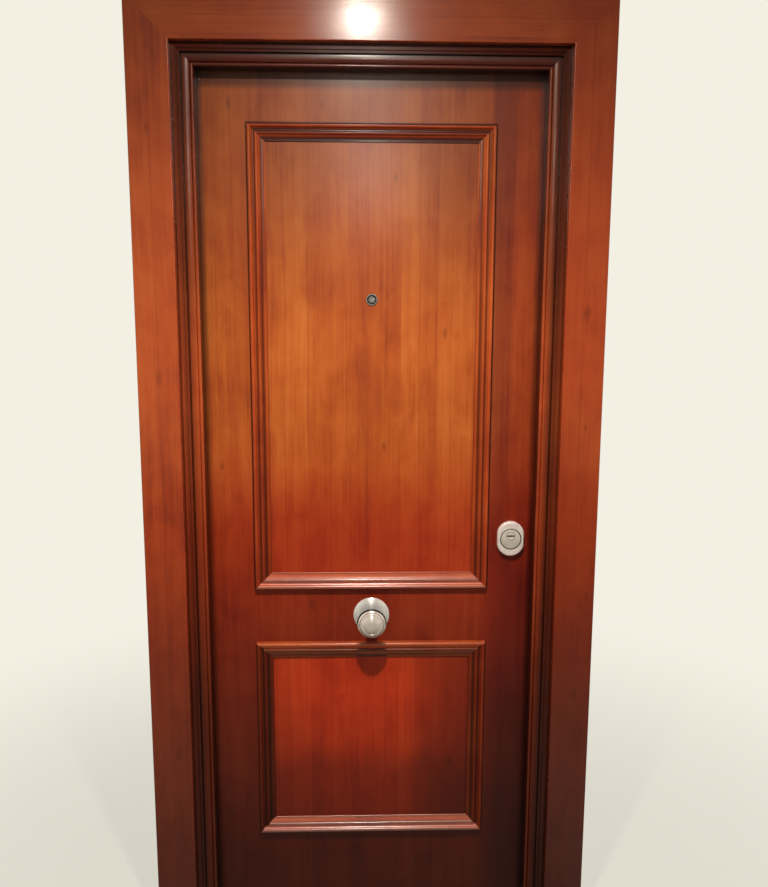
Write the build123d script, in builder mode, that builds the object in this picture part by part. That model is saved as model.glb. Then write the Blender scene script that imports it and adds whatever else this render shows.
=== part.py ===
from build123d import *
import math
import os

os.makedirs("parts", exist_ok=True)

# A panelled front door in its frame, in millimetres.
# X runs across the doorway, Y from the landing to the inside and Z up.
# The origin is on the floor, on the doorway's centre line, at the middle of the leaf's thickness.

# Leaf
leaf_width = 825.0
leaf_height = 2110.0
leaf_thickness = 45.0
board_thickness = 6.0
lipping_width = 10.0
side_gap = 3.0
top_gap = 3.0
floor_gap = 5.0

# Frame section, measured outwards from the sight line and back from the leaf's outer face
nose_overlap = 12.0
nose_depth = 45.0
bead_radius = 4.5
quirk_width = 0.8
quirk_depth = 2.0
band_width = 14.5
band_setback = 5.5
band_slope = 3.0
band_crown = 1.2
groove_width = 3.2
groove_depth = 4.5
step_width = 20.5
step_notch = 1.0
notch_inset = 6.5
face_depth = 57.0
jamb_thickness = 51.0
seal_gap = 3.0

# Rubber strip in the shoulder of the rebate
seal_slot_width = 3.2
seal_slot_depth = 6.0
seal_slot_inset = 5.3
seal_lip_width = 8.0
seal_lip_edge = 0.9
seal_clearance = 0.3

# Architraves
architrave_width = 96.0
architrave_thickness = 20.0
architrave_edge = 2.0
inner_architrave_width = 70.0
inner_architrave_thickness = 16.0
inner_architrave_edge = 4.0
inner_architrave_reveal = 8.0

# Planted mouldings
moulding_width = 42.0
moulding_height = 13.0
torus_radius = 4.8
small_bead_radius = 4.4
small_bead_height = 9.5
outer_fillet = 1.0
hollow_width = 7.2
hollow_depth = 1.5
lip_width = 2.0
lip_height = 3.0
lip_quirk = 0.9
lip_chamfer = 0.6
cove_lean = 1.2
stile_margin = 121.5
top_margin = 123.0
lock_rail = 140.0
lower_frame_height = 524.0
bottom_margin = 204.0

# Hinges
hinge_height = 100.0
hinge_knuckle_radius = 7.0
hinge_pin_radius = 4.0
hinge_pin_edge = 2.0
hinge_clearance = 0.05
hinge_knuckle_gap = 0.3
hinge_flap = 2.5
hinge_flap_depth = 32.0
hinge_face_gap = 0.5
hinge_end_margin = 160.0
hinge_screw_pitch = 34.0

# Screws
screw_head_radius = 4.2
screw_radius = 2.0
screw_length = 22.0
fixing_hole_radius = 4.0
fixing_head_radius = 8.0
fixing_head_depth = 10.0
fixing_pitch = 450.0
fixing_low_centre = 605.0
fixing_high_centre = 1525.0

# Lock
backset = 65.0
key_height = 1009.2
lock_case_depth = 90.0
lock_case_half = 10.5
lock_case_wall = 1.5
lock_case_below_key = 100.0
lock_case_above_key = 122.0
mortise_clearance = 0.5
faceplate_width = 24.0
faceplate_thickness = 3.0
faceplate_margin = 14.0
faceplate_corner = 6.0
bolt_radius = 8.0
bolt_clearance = 0.2
bolt_pitch = 35.0
bolt_count = 3
bolt_travel = 20.0
bolt_plate_width = 8.0
bolt_plate_end = 14.0
bolt_plate_corner = 2.0
bolt_nose = 1.5
strike_clearance = 1.5
strike_pocket_spare = 8.0
latch_above_key = 85.0
latch_height = 28.0
latch_thickness = 14.0
latch_travel = 12.0
latch_length = 28.0
latch_lip = 1.5
latch_clearance = 0.3
follower_radius = 9.0
follower_arm = 12.0
follower_arm_half = 2.2
follower_arm_thickness = 6.0
follower_turn = 60.0
tail_thickness = 2.5
tail_height = 40.0
tail_clearance = 0.7
tail_rim = 3.0
tail_lap = 8.0
lug_width = 4.0
lug_height = 6.0
lug_gap = 1.2
spindle_size = 8.0

# Cylinder
cylinder_radius = 8.5
cylinder_web = 10.0
cylinder_drop = 24.5
cylinder_clearance = 0.5
cylinder_outer_stand = 6.5
plug_radius = 6.5
plug_clearance = 0.1
cam_gap = 10.0
cam_radius = 13.5
cam_width = 9.0
cam_clearance = 0.5
keyway_width = 10.0
keyway_thickness = 2.4
keyway_depth = 20.0

# Escutcheons
escutcheon_width = 66.5
escutcheon_height = 88.0
escutcheon_thickness = 12.0
escutcheon_edge = 4.0
escutcheon_shoulder = 28.0
disc_radius = 25.0
disc_thickness = 4.0
disc_gap = 1.8
disc_edge = 1.0
disc_sink = 0.5
disc_below_key = 7.5
rotor_radius = 10.2
rotor_clearance = 0.3
rotor_sink = 0.4
rotor_slot_width = 17.5
rotor_slot_thickness = 2.8
rotor_edge = 0.5
inner_escutcheon_thickness = 8.0
inner_escutcheon_edge = 2.5
escutcheon_bolt_radius = 2.5
escutcheon_bolt_clearance = 0.3
escutcheon_bolt_drop = 33.0
escutcheon_bolt_bite = 5.0
escutcheon_bolt_head_radius = 5.0
escutcheon_bolt_head_depth = 2.5
thumb_collar_radius = 11.0
thumb_collar_height = 5.0
thumb_collar_edge = 1.0
thumb_grip_width = 32.0
thumb_grip_thickness = 11.0
thumb_grip_reach = 20.0
thumb_edge = 3.0
running_gap = 0.3

# Pull knob, its rose and its bolt
rose_radius = 45.0
rose_rim = 2.5
rose_bevel = 2.2
rose_bevel_rise = 1.1
rose_height = 9.5
rose_top_radius = 20.0
neck_radius = 14.0
neck_length = 42.0
knob_radius = 36.5
knob_rim_start = 58.5
knob_rim_end = 66.5
knob_rim_edge = 2.0
knob_back_sag = 2.0
knob_step_radius = 30.5
knob_step_height = 69.0
knob_cap_radius = 29.0
knob_cap_height = 75.0
knob_cap_edge = 2.5
knob_ring_radius = 25.0
knob_ring_depth = 0.8
knob_ring_rise = 0.4
knob_reach = 81.0
knob_bolt_radius = 4.0
knob_bolt_bite = 26.0
knob_cap_nut_radius = 12.0
knob_cap_nut_height = 7.0
knob_cap_nut_rim = 2.0
knob_bolt_bite_in_cap = 3.5

# Door viewer
viewer_drop = 525.0
viewer_flange_radius = 14.0
viewer_flange_height = 3.5
viewer_rim = 2.2
viewer_edge = 1.1
viewer_well_taper = 0.5
viewer_well_depth = 1.6
viewer_tube_radius = 9.0
viewer_bore_radius = 6.5
viewer_lens_radius = 8.0
viewer_lens_seat = 4.0
viewer_lens_crown = 2.0
viewer_tube_length = 38.0
eyepiece_tube_wall = 1.5
eyepiece_bite = 24.0
eyepiece_flange_radius = 13.0
eyepiece_flange_height = 3.0
eyepiece_edge = 1.2
cover_radius = 9.5
cover_thickness = 1.6
cover_pivot_rise = 9.5
cover_pin_radius = 1.5
cover_gap = 0.3
cover_tab_radius = 3.2

# Inside knob
inner_rose_radius = 27.0
inner_rose_height = 8.0
inner_rose_edge = 2.0
inner_neck_radius = 11.0
inner_neck_length = 44.0
inner_grip_height = 62.0
inner_grip_width = 46.0
inner_knob_reach = 81.0
inner_grip_edge = 9.0
spindle_grip = 12.0

# Places worked out from the sizes above
leaf_side = leaf_width / 2
leaf_foot = floor_gap
leaf_head = leaf_foot + leaf_height
outer_face = -leaf_thickness / 2
inner_face = leaf_thickness / 2
core_side = leaf_side - lipping_width
core_half = inner_face - board_thickness
rebate_side = leaf_side + side_gap
nose_side = leaf_side - nose_overlap
nose_head = leaf_head + top_gap - side_gap - nose_overlap
rebate_out = rebate_side - nose_side
stop_face = outer_face - seal_gap
nose_front = outer_face - nose_depth
frame_face = outer_face - face_depth
profile_width = 2 * bead_radius + quirk_width + band_width + groove_width + step_width
jamb_out = rebate_out + jamb_thickness
key_side = leaf_side - backset
disc_height = key_height - disc_below_key
latch_height_up = key_height + latch_above_key
faceplate_back = leaf_side - faceplate_thickness
case_foot = key_height - lock_case_below_key
case_head = key_height + lock_case_above_key
plate_foot = case_foot - faceplate_margin
plate_head = case_head + faceplate_margin
plate_middle = (plate_foot + plate_head) / 2
bolt_heights = [key_height - row * bolt_pitch for row in range(bolt_count)]
strike_pocket_depth = bolt_travel - side_gap + strike_pocket_spare
hinge_x = -(leaf_side + side_gap / 2)
hinge_y = inner_face + hinge_face_gap + hinge_knuckle_radius
hinge_heights = {
    "bottom": leaf_foot + hinge_end_margin + hinge_height / 2,
    "middle": leaf_foot + leaf_height / 2,
    "top": leaf_head - hinge_end_margin - hinge_height / 2,
}
moulding_side = leaf_side - stile_margin - moulding_width
lower_sight_foot = leaf_foot + bottom_margin + moulding_width
lower_sight_head = leaf_foot + bottom_margin + lower_frame_height - moulding_width
upper_sight_foot = lower_sight_head + lock_rail + 2 * moulding_width
upper_sight_head = leaf_head - top_margin - moulding_width
knob_height = lower_sight_head + moulding_width + lock_rail / 2
viewer_height = leaf_head - viewer_drop


def facing_out(y, x=0, z=0):
    """A plane parallel to the leaf's outer face, looking out to the landing, with Z upwards."""
    return Plane(origin=(x, y, z), x_dir=(1, 0, 0), z_dir=(0, -1, 0))


def facing_in(y, x=0, z=0):
    """The same, looking to the inside."""
    return Plane(origin=(x, y, z), x_dir=(-1, 0, 0), z_dir=(0, 1, 0))


def facing_right(x, z=0):
    """A plane across the doorway's width, looking to +X, with local X along Y and Z upwards."""
    return Plane(origin=(x, 0, z), x_dir=(0, 1, 0), z_dir=(1, 0, 0))


def turning_out(y, x, z):
    """A half plane for a turned piece: local X is its radius and local Y its height above y."""
    return Plane(origin=(x, y, z), x_dir=(1, 0, 0), z_dir=(0, 0, -1))


def turning_in(y, x, z):
    """The same for a piece that stands up to the inside."""
    return Plane(origin=(x, y, z), x_dir=(1, 0, 0), z_dir=(0, 0, 1))


def dome(edge_radius, edge_height, crown_height):
    """A turned piece's round crown, from its edge up to the axis, with its centre on the axis."""
    rise = crown_height - edge_height
    sphere = (edge_radius**2 + rise**2) / (2 * rise)
    half_way = math.asin(edge_radius / sphere) / 2
    return ThreePointArc(
        (edge_radius, edge_height),
        (sphere * math.sin(half_way), crown_height - sphere * (1 - math.cos(half_way))),
        (0, crown_height),
    )


def mitred_bar(section, start, end, outward, mitre_start=True, mitre_end=True):
    """A bar of the section along a sight line, mitred at 45 degrees or cut square at its ends.

    The section's local X is outward, away from the opening, and its local Y is the model's Y.
    """
    outward = Vector(*outward)
    start = Vector(*start)
    end = Vector(*end)
    along = outward.cross(Vector(0, 1, 0))
    reach = section.bounding_box().max.X
    first = start - along * reach if mitre_start else start
    last = end + along * reach if mitre_end else end
    with BuildPart() as bar:
        with BuildSketch(Plane(origin=first, x_dir=outward, z_dir=along)):
            add(section)
        extrude(amount=(last - first).length)
        if mitre_start:
            split(bisect_by=Plane(origin=start, z_dir=along + outward), keep=Keep.TOP)
        if mitre_end:
            split(bisect_by=Plane(origin=end, z_dir=outward - along), keep=Keep.TOP)
    return bar.part


def doorway_bars(section):
    """The section run round the doorway: a right-hand, a left-hand and a head bar."""
    right = mitred_bar(section, (nose_side, 0, 0), (nose_side, 0, nose_head), (1, 0, 0), False, True)
    left = mitred_bar(section, (-nose_side, 0, nose_head), (-nose_side, 0, 0), (-1, 0, 0), True, False)
    head = mitred_bar(section, (nose_side, 0, nose_head), (-nose_side, 0, nose_head), (0, 0, 1))
    return right, left, head


def rectangle_bars(section, y, side, foot, head):
    """The section run round a rectangle: its top, bottom, left-hand and right-hand bars."""
    return {
        "top": mitred_bar(section, (side, y, head), (-side, y, head), (0, 0, 1)),
        "bottom": mitred_bar(section, (-side, y, foot), (side, y, foot), (0, 0, -1)),
        "left": mitred_bar(section, (-side, y, head), (-side, y, foot), (-1, 0, 0)),
        "right": mitred_bar(section, (side, y, foot), (side, y, head), (1, 0, 0)),
    }


def hand_in(part, label):
    """Name a finished piece and write it out."""
    part.label = label
    export_step(part, f"parts/{label}.step")


# Sections

# The frame bar has a notched step in front and a shoulder behind it, where the stop is planted.
# The stop's front runs from its nose bead over a quirk and a sloping band to a deep groove.
band_in = 2 * bead_radius + quirk_width
band_out = band_in + band_width
step_in = band_out + groove_width
notch_centre = step_in + notch_inset
band_in_y = frame_face + band_setback + band_slope
band_out_y = frame_face + band_setback
bead_centre_y = nose_front + bead_radius
band_crown_y = (band_in_y + band_out_y) / 2 - band_crown
slot_in = seal_slot_inset
slot_out = seal_slot_inset + seal_slot_width
with BuildSketch() as frame_section:
    with BuildLine():
        Polyline(
            (step_in, stop_face),
            (step_in, frame_face),
            (notch_centre - step_notch, frame_face),
            (notch_centre, frame_face + step_notch),
            (notch_centre + step_notch, frame_face),
            (jamb_out, frame_face),
            (jamb_out, inner_face),
            (rebate_out, inner_face),
            (rebate_out, stop_face),
            (step_in, stop_face),
        )
    make_face()

with BuildSketch() as stop_section:
    with BuildLine():
        Line((0, stop_face), (0, bead_centre_y))
        ThreePointArc((0, bead_centre_y), (bead_radius, nose_front), (2 * bead_radius, bead_centre_y))
        Polyline(
            (2 * bead_radius, bead_centre_y),
            (2 * bead_radius, band_in_y + quirk_depth),
            (band_in, band_in_y + quirk_depth),
            (band_in, band_in_y),
        )
        ThreePointArc(
            (band_in, band_in_y),
            ((band_in + band_out) / 2, band_crown_y),
            (band_out, band_out_y),
        )
        Polyline(
            (band_out, band_out_y),
            (band_out, band_out_y + groove_depth),
            (step_in, band_out_y + groove_depth),
            (step_in, stop_face),
            (slot_out, stop_face),
            (slot_out, stop_face - seal_slot_depth),
            (slot_in, stop_face - seal_slot_depth),
            (slot_in, stop_face),
            (0, stop_face),
        )
    make_face()

# The rubber strip has a stem that fills the slot and a rounded lip that the leaf closes on.
lip_centre = (slot_in + slot_out) / 2
lip_half = seal_lip_width / 2
lip_face = outer_face - seal_clearance
lip_shoulder = stop_face + seal_lip_edge
with BuildSketch() as seal_section:
    with BuildLine():
        Polyline(
            (lip_centre - lip_half, lip_shoulder),
            (lip_centre - lip_half, stop_face),
            (slot_in, stop_face),
            (slot_in, stop_face - seal_slot_depth),
            (slot_out, stop_face - seal_slot_depth),
            (slot_out, stop_face),
            (lip_centre + lip_half, stop_face),
            (lip_centre + lip_half, lip_shoulder),
        )
        ThreePointArc(
            (lip_centre + lip_half, lip_shoulder),
            (lip_centre, lip_face),
            (lip_centre - lip_half, lip_shoulder),
        )
    make_face()

# A wide flat board with its two front arrises eased.
with BuildSketch() as architrave_section:
    with Locations((profile_width, frame_face)):
        Rectangle(architrave_width, architrave_thickness, align=(Align.MIN, Align.MAX))
    fillet(architrave_section.vertices().group_by(Axis.Y)[0], architrave_edge)

with BuildSketch() as inner_architrave_section:
    with Locations((rebate_out + inner_architrave_reveal, inner_face)):
        Rectangle(inner_architrave_width, inner_architrave_thickness, align=(Align.MIN, Align.MIN))
    fillet(inner_architrave_section.vertices().group_by(Axis.Y)[-1], inner_architrave_edge)

# The planted moulding from its inner edge: lip, quirk, cove, small bead, hollow, torus, outer side.
torus_centre = moulding_width - outer_fillet - torus_radius
torus_in = torus_centre - torus_radius
torus_y = -(moulding_height - torus_radius)
bead_out = torus_in - hollow_width
bead_in = bead_out - 2 * small_bead_radius
small_bead_y = -(small_bead_height - small_bead_radius)
hollow_y = (torus_y + small_bead_y) / 2 + hollow_depth
cove_start = lip_width + lip_quirk
cove_middle = (cove_start + bead_in) / 2
with BuildSketch() as moulding_section:
    with BuildLine():
        Polyline(
            (0, 0),
            (0, -lip_height + lip_chamfer),
            (lip_chamfer, -lip_height),
            (lip_width, -lip_height),
            (lip_width, -lip_height + lip_quirk),
            (cove_start, -lip_height + lip_quirk),
        )
        ThreePointArc(
            (cove_start, -lip_height + lip_quirk),
            (cove_middle + cove_lean, -lip_height),
            (bead_in, small_bead_y),
        )
        ThreePointArc(
            (bead_in, small_bead_y),
            (bead_in + small_bead_radius, -small_bead_height),
            (bead_out, small_bead_y),
        )
        ThreePointArc(
            (bead_out, small_bead_y),
            ((bead_out + torus_in) / 2, hollow_y),
            (torus_in, torus_y),
        )
        ThreePointArc(
            (torus_in, torus_y),
            (torus_centre, -moulding_height),
            (torus_centre + torus_radius, torus_y),
        )
        Polyline(
            (torus_centre + torus_radius, torus_y),
            (moulding_width - outer_fillet, -outer_fillet),
            (moulding_width, -outer_fillet),
            (moulding_width, 0),
            (0, 0),
        )
    make_face()


def cylinder_profile(extra=0.0):
    """The lock cylinder's outline: a round top with a narrower round-ended web below it."""
    with BuildSketch() as outline:
        Circle(cylinder_radius + extra)
        with Locations((0, -(cylinder_drop - cylinder_web / 2) / 2)):
            Rectangle(cylinder_web + 2 * extra, cylinder_drop - cylinder_web / 2)
        with Locations((0, -(cylinder_drop - cylinder_web / 2))):
            Circle(cylinder_web / 2 + extra)
    return outline.sketch


def escutcheon_outline():
    """An upright oval: flat-sided in the middle, with full round shoulders above and below."""
    side = escutcheon_width / 2
    top = escutcheon_height / 2
    shoulder = top - escutcheon_shoulder
    with BuildSketch() as outline:
        with BuildLine():
            ThreePointArc((-side, shoulder), (0, top), (side, shoulder))
            Line((side, shoulder), (side, -shoulder))
            ThreePointArc((side, -shoulder), (0, -top), (-side, -shoulder))
            Line((-side, -shoulder), (-side, shoulder))
        make_face()
    return outline.sketch


# Countersunk screws: a cone that fills the plate's countersink, then the shank in the wood.
def countersink(head_plane, spots, plate):
    """The screws whose heads lie in the plane, pointing back from it, in a plate of this thickness."""
    with BuildPart() as screws:
        for spot in spots:
            with BuildSketch(head_plane * Pos(*spot)):
                Circle(screw_head_radius)
            with BuildSketch(head_plane * Pos(*spot) * Pos(0, 0, -plate)):
                Circle(screw_radius)
            loft()
            with BuildSketch(head_plane * Pos(*spot) * Pos(0, 0, -plate)):
                Circle(screw_radius)
            extrude(amount=-(screw_length - plate))
    return screws.part


hinge_screw_spots = [(0, -hinge_screw_pitch), (0, 0), (0, hinge_screw_pitch)]
hinge_screw_y = inner_face - hinge_flap_depth / 2
plate_screw_spots = [
    (0, plate_foot + faceplate_margin / 2),
    (0, plate_head - faceplate_margin / 2),
]
jamb_hinge_face = Plane(origin=(-rebate_side, hinge_screw_y, 0), x_dir=(0, 1, 0), z_dir=(1, 0, 0))
leaf_hinge_face = Plane(origin=(-leaf_side, hinge_screw_y, 0), x_dir=(0, -1, 0), z_dir=(-1, 0, 0))
strike_face = Plane(origin=(rebate_side, 0, 0), x_dir=(0, -1, 0), z_dir=(-1, 0, 0))
faceplate_face = facing_right(leaf_side)


# Hinges, in two halves and a pin each
def hinge_screws(face, height):
    """The screws of one flap."""
    spots = [(x, height + z) for x, z in hinge_screw_spots]
    return countersink(face, spots, hinge_flap)


def hinge_half(height, upper):
    """One flap with its web and half of the knuckle: the leaf's is the upper, the frame's the lower."""
    side = 1 if upper else -1
    face = hinge_x + side * side_gap / 2
    knuckle = (hinge_height - hinge_knuckle_gap) / 2
    foot = height + hinge_knuckle_gap / 2 if upper else height - hinge_height / 2
    align_x = Align.MIN if upper else Align.MAX
    with BuildPart() as half:
        with Locations((face, inner_face, height)):
            Box(hinge_flap, hinge_flap_depth, hinge_height, align=(align_x, Align.MAX, Align.CENTER))
        with Locations((face, inner_face, foot)):
            Box(hinge_flap, hinge_y - inner_face, knuckle, align=(align_x, Align.MIN, Align.MIN))
        with BuildSketch(Plane.XY.offset(foot)):
            with Locations((hinge_x, hinge_y)):
                Circle(hinge_knuckle_radius)
        extrude(amount=knuckle)
        with BuildSketch(Plane.XY.offset(foot)):
            with Locations((hinge_x, hinge_y)):
                Circle(hinge_pin_radius + (hinge_clearance if upper else 0))
        extrude(amount=knuckle, mode=Mode.SUBTRACT)
        add(hinge_screws(leaf_hinge_face if upper else jamb_hinge_face, height), mode=Mode.SUBTRACT)
    return half.part


def hinge_mortise(height, face, align_x):
    """The shallow recess that a flap lies in."""
    with BuildPart() as recess:
        with Locations((face, inner_face, height)):
            Box(hinge_flap, hinge_flap_depth, hinge_height, align=(align_x, Align.MAX, Align.CENTER))
    return recess.part


for place, height in hinge_heights.items():
    hand_in(hinge_half(height, upper=False), f"hinge_{place}_frame")
    hand_in(hinge_half(height, upper=True), f"hinge_{place}_leaf")

with BuildPart() as hinge_pins:
    for height in hinge_heights.values():
        with BuildSketch(Plane.XY.offset(height - hinge_height / 2)):
            with Locations((hinge_x, hinge_y)):
                Circle(hinge_pin_radius)
        extrude(amount=hinge_height)
        fillet(hinge_pins.edges().sort_by(Axis.Z)[-1], hinge_pin_edge)
hand_in(hinge_pins.part, "hinge_pins")

# Frame
right_bar, left_bar, head_bar = doorway_bars(frame_section.sketch)
fixing_heights = [
    fixing_low_centre - fixing_pitch / 2,
    fixing_low_centre + fixing_pitch / 2,
    fixing_high_centre - fixing_pitch / 2,
    fixing_high_centre + fixing_pitch / 2,
]


def fixing_holes(face):
    """Counterbored holes through the jamb for the screws that hold it to the wall."""
    with BuildPart() as holes:
        for height in fixing_heights:
            with BuildSketch(face * Pos(0, height)):
                Circle(fixing_head_radius)
            extrude(amount=-fixing_head_depth)
            with BuildSketch(face * Pos(0, height)):
                Circle(fixing_hole_radius)
            extrude(amount=-jamb_thickness)
    return holes.part


with BuildPart() as jamb_left:
    add(left_bar)
    for height in hinge_heights.values():
        add(hinge_mortise(height, -rebate_side, Align.MAX), mode=Mode.SUBTRACT)
        add(hinge_screws(jamb_hinge_face, height), mode=Mode.SUBTRACT)
    add(fixing_holes(facing_right(-rebate_side)), mode=Mode.SUBTRACT)
hand_in(jamb_left.part, "jamb_left")

# The strike plate lies flush in the right-hand jamb, with a pocket behind each of its slots:
# a long one for the three deadbolts and a short one for the latch.
strike_slot_width = 2 * (bolt_radius + strike_clearance)
strike_slot_height = bolt_heights[0] - bolt_heights[-1] + strike_slot_width
strike_slot_middle = (bolt_heights[0] + bolt_heights[-1]) / 2
strike_latch_width = latch_thickness + 2 * strike_clearance
strike_latch_height = latch_height + 2 * strike_clearance


def strike_openings(depth):
    """The slots for the deadbolts and the latch, to this depth from the plate's face."""
    with BuildPart() as openings:
        with BuildSketch(strike_face):
            with Locations((0, strike_slot_middle)):
                Rectangle(strike_slot_width, strike_slot_height)
            with Locations((0, latch_height_up)):
                Rectangle(strike_latch_width, strike_latch_height)
        extrude(amount=-depth)
    return openings.part


strike_screws = countersink(strike_face, plate_screw_spots, faceplate_thickness)
with BuildPart() as strike_plate:
    with Locations((rebate_side, 0, plate_middle)):
        Box(
            faceplate_thickness,
            faceplate_width,
            plate_head - plate_foot,
            align=(Align.MIN, Align.CENTER, Align.CENTER),
        )
    fillet(strike_plate.edges().filter_by(Axis.X), faceplate_corner)
    plate_blank = strike_plate.part
    add(strike_openings(faceplate_thickness), mode=Mode.SUBTRACT)
    add(strike_screws, mode=Mode.SUBTRACT)
hand_in(strike_plate.part, "strike_plate")

with BuildPart() as jamb_right:
    add(right_bar)
    add(plate_blank, mode=Mode.SUBTRACT)
    add(strike_openings(strike_pocket_depth), mode=Mode.SUBTRACT)
    add(strike_screws, mode=Mode.SUBTRACT)
    add(fixing_holes(strike_face), mode=Mode.SUBTRACT)
hand_in(jamb_right.part, "jamb_right")

hand_in(head_bar, "frame_head")

for place, bar in zip(("right", "left", "head"), doorway_bars(stop_section.sketch)):
    hand_in(bar, f"stop_{place}")

with BuildPart() as frame_screws:
    add(strike_screws)
    for height in hinge_heights.values():
        add(hinge_screws(jamb_hinge_face, height))
hand_in(frame_screws.part, "frame_screws")

with BuildPart() as frame_seal:
    for bar in doorway_bars(seal_section.sketch):
        add(bar)
hand_in(frame_seal.part, "frame_seal")

for prefix, section in (("architrave", architrave_section), ("inner_architrave", inner_architrave_section)):
    for place, bar in zip(("right", "left", "head"), doorway_bars(section.sketch)):
        hand_in(bar, f"{prefix}_{place}")

# Leaf: everything that passes through it is cut from its layers with the same cutters.
with BuildPart() as cylinder_hole:
    with BuildSketch(facing_out(outer_face, key_side, key_height)):
        add(cylinder_profile(cylinder_clearance))
    extrude(amount=-leaf_thickness)

with BuildPart() as cam_sweep:
    with BuildSketch(facing_out(-cam_gap / 2, key_side, key_height)):
        Circle(cam_radius + cam_clearance)
    extrude(amount=-cam_gap)

with BuildPart() as knob_hole:
    with BuildSketch(facing_out(outer_face, 0, knob_height)):
        Circle(knob_bolt_radius)
    extrude(amount=-leaf_thickness)

with BuildPart() as viewer_hole:
    with BuildSketch(facing_out(outer_face, 0, viewer_height)):
        Circle(viewer_tube_radius)
    extrude(amount=-leaf_thickness)

spindle_hole_radius = spindle_size / math.sqrt(2) + running_gap
with BuildPart() as spindle_hole:
    with BuildSketch(facing_in(inner_face, key_side, latch_height_up)):
        Circle(spindle_hole_radius)
    extrude(amount=-(inner_face - lock_case_half))

escutcheon_bolt_heights = (disc_height - escutcheon_bolt_drop, disc_height + escutcheon_bolt_drop)
with BuildPart() as escutcheon_bolt_holes:
    for height in escutcheon_bolt_heights:
        with BuildSketch(facing_out(outer_face, key_side, height)):
            Circle(escutcheon_bolt_radius + escutcheon_bolt_clearance)
        extrude(amount=-leaf_thickness)

with BuildPart() as lock_mortise:
    with Locations((leaf_side, 0, (case_foot + case_head) / 2)):
        Box(
            faceplate_thickness + lock_case_depth + mortise_clearance,
            2 * (lock_case_half + mortise_clearance),
            case_head - case_foot + 2 * mortise_clearance,
            align=(Align.MAX, Align.CENTER, Align.CENTER),
        )

with BuildPart() as leaf_core:
    with Locations((0, 0, leaf_foot)):
        Box(2 * core_side, 2 * core_half, leaf_height, align=(Align.CENTER, Align.CENTER, Align.MIN))
    for cutter in (lock_mortise, cylinder_hole, knob_hole, viewer_hole, spindle_hole, escutcheon_bolt_holes):
        add(cutter.part, mode=Mode.SUBTRACT)
    for height in hinge_heights.values():
        add(hinge_screws(leaf_hinge_face, height), mode=Mode.SUBTRACT)
    add(countersink(faceplate_face, plate_screw_spots, faceplate_thickness), mode=Mode.SUBTRACT)
hand_in(leaf_core.part, "leaf_core")

with BuildPart() as outer_board:
    with Locations((0, outer_face, leaf_foot)):
        Box(2 * core_side, board_thickness, leaf_height, align=(Align.CENTER, Align.MIN, Align.MIN))
    for cutter in (cylinder_hole, knob_hole, viewer_hole, escutcheon_bolt_holes):
        add(cutter.part, mode=Mode.SUBTRACT)
hand_in(outer_board.part, "outer_board")

with BuildPart() as lipping_left:
    with Locations((-leaf_side, 0, leaf_foot)):
        Box(lipping_width, leaf_thickness, leaf_height, align=(Align.MIN, Align.CENTER, Align.MIN))
    for height in hinge_heights.values():
        add(hinge_mortise(height, -leaf_side, Align.MIN), mode=Mode.SUBTRACT)
        add(hinge_screws(leaf_hinge_face, height), mode=Mode.SUBTRACT)
hand_in(lipping_left.part, "lipping_left")

faceplate_screws = countersink(faceplate_face, plate_screw_spots, faceplate_thickness)
with BuildPart() as faceplate_blank:
    with Locations((leaf_side, 0, plate_middle)):
        Box(
            faceplate_thickness,
            faceplate_width,
            plate_head - plate_foot,
            align=(Align.MAX, Align.CENTER, Align.CENTER),
        )
    fillet(faceplate_blank.edges().filter_by(Axis.X), faceplate_corner)

with BuildPart() as lipping_right:
    with Locations((leaf_side, 0, leaf_foot)):
        Box(lipping_width, leaf_thickness, leaf_height, align=(Align.MAX, Align.CENTER, Align.MIN))
    add(faceplate_blank.part, mode=Mode.SUBTRACT)
    add(lock_mortise.part, mode=Mode.SUBTRACT)
    add(faceplate_screws, mode=Mode.SUBTRACT)
hand_in(lipping_right.part, "lipping_right")

# Mouldings planted on the outer board, and their twins worked on the inner one
moulding_frames = {
    "upper": (upper_sight_foot, upper_sight_head),
    "lower": (lower_sight_foot, lower_sight_head),
}
inner_mouldings = []
for name, (foot, head) in moulding_frames.items():
    for place, bar in rectangle_bars(moulding_section.sketch, outer_face, moulding_side, foot, head).items():
        inner_mouldings.append(bar.mirror(Plane.XZ))
        hand_in(bar, f"{name}_moulding_{place}")

with BuildPart() as inner_board:
    with Locations((0, inner_face, leaf_foot)):
        Box(2 * core_side, board_thickness, leaf_height, align=(Align.CENTER, Align.MAX, Align.MIN))
    for bar in inner_mouldings:
        add(bar)
    for cutter in (cylinder_hole, knob_hole, viewer_hole, spindle_hole, escutcheon_bolt_holes):
        add(cutter.part, mode=Mode.SUBTRACT)
hand_in(inner_board.part, "inner_board")

# Mortise lock
case_inner_half = lock_case_half - lock_case_wall
with BuildPart() as lock_case:
    with Locations((faceplate_back, 0, case_foot)):
        Box(
            lock_case_depth,
            2 * lock_case_half,
            case_head - case_foot,
            align=(Align.MAX, Align.CENTER, Align.MIN),
        )
    with Locations((faceplate_back, 0, case_foot + lock_case_wall)):
        Box(
            lock_case_depth - lock_case_wall,
            2 * case_inner_half,
            case_head - case_foot - 2 * lock_case_wall,
            align=(Align.MAX, Align.CENTER, Align.MIN),
            mode=Mode.SUBTRACT,
        )
    add(cylinder_hole.part, mode=Mode.SUBTRACT)
    add(escutcheon_bolt_holes.part, mode=Mode.SUBTRACT)
    with BuildSketch(facing_out(-lock_case_half, key_side, latch_height_up)):
        Circle(follower_radius + plug_clearance)
    extrude(amount=-2 * lock_case_half, mode=Mode.SUBTRACT)
hand_in(lock_case.part, "lock_case")

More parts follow.
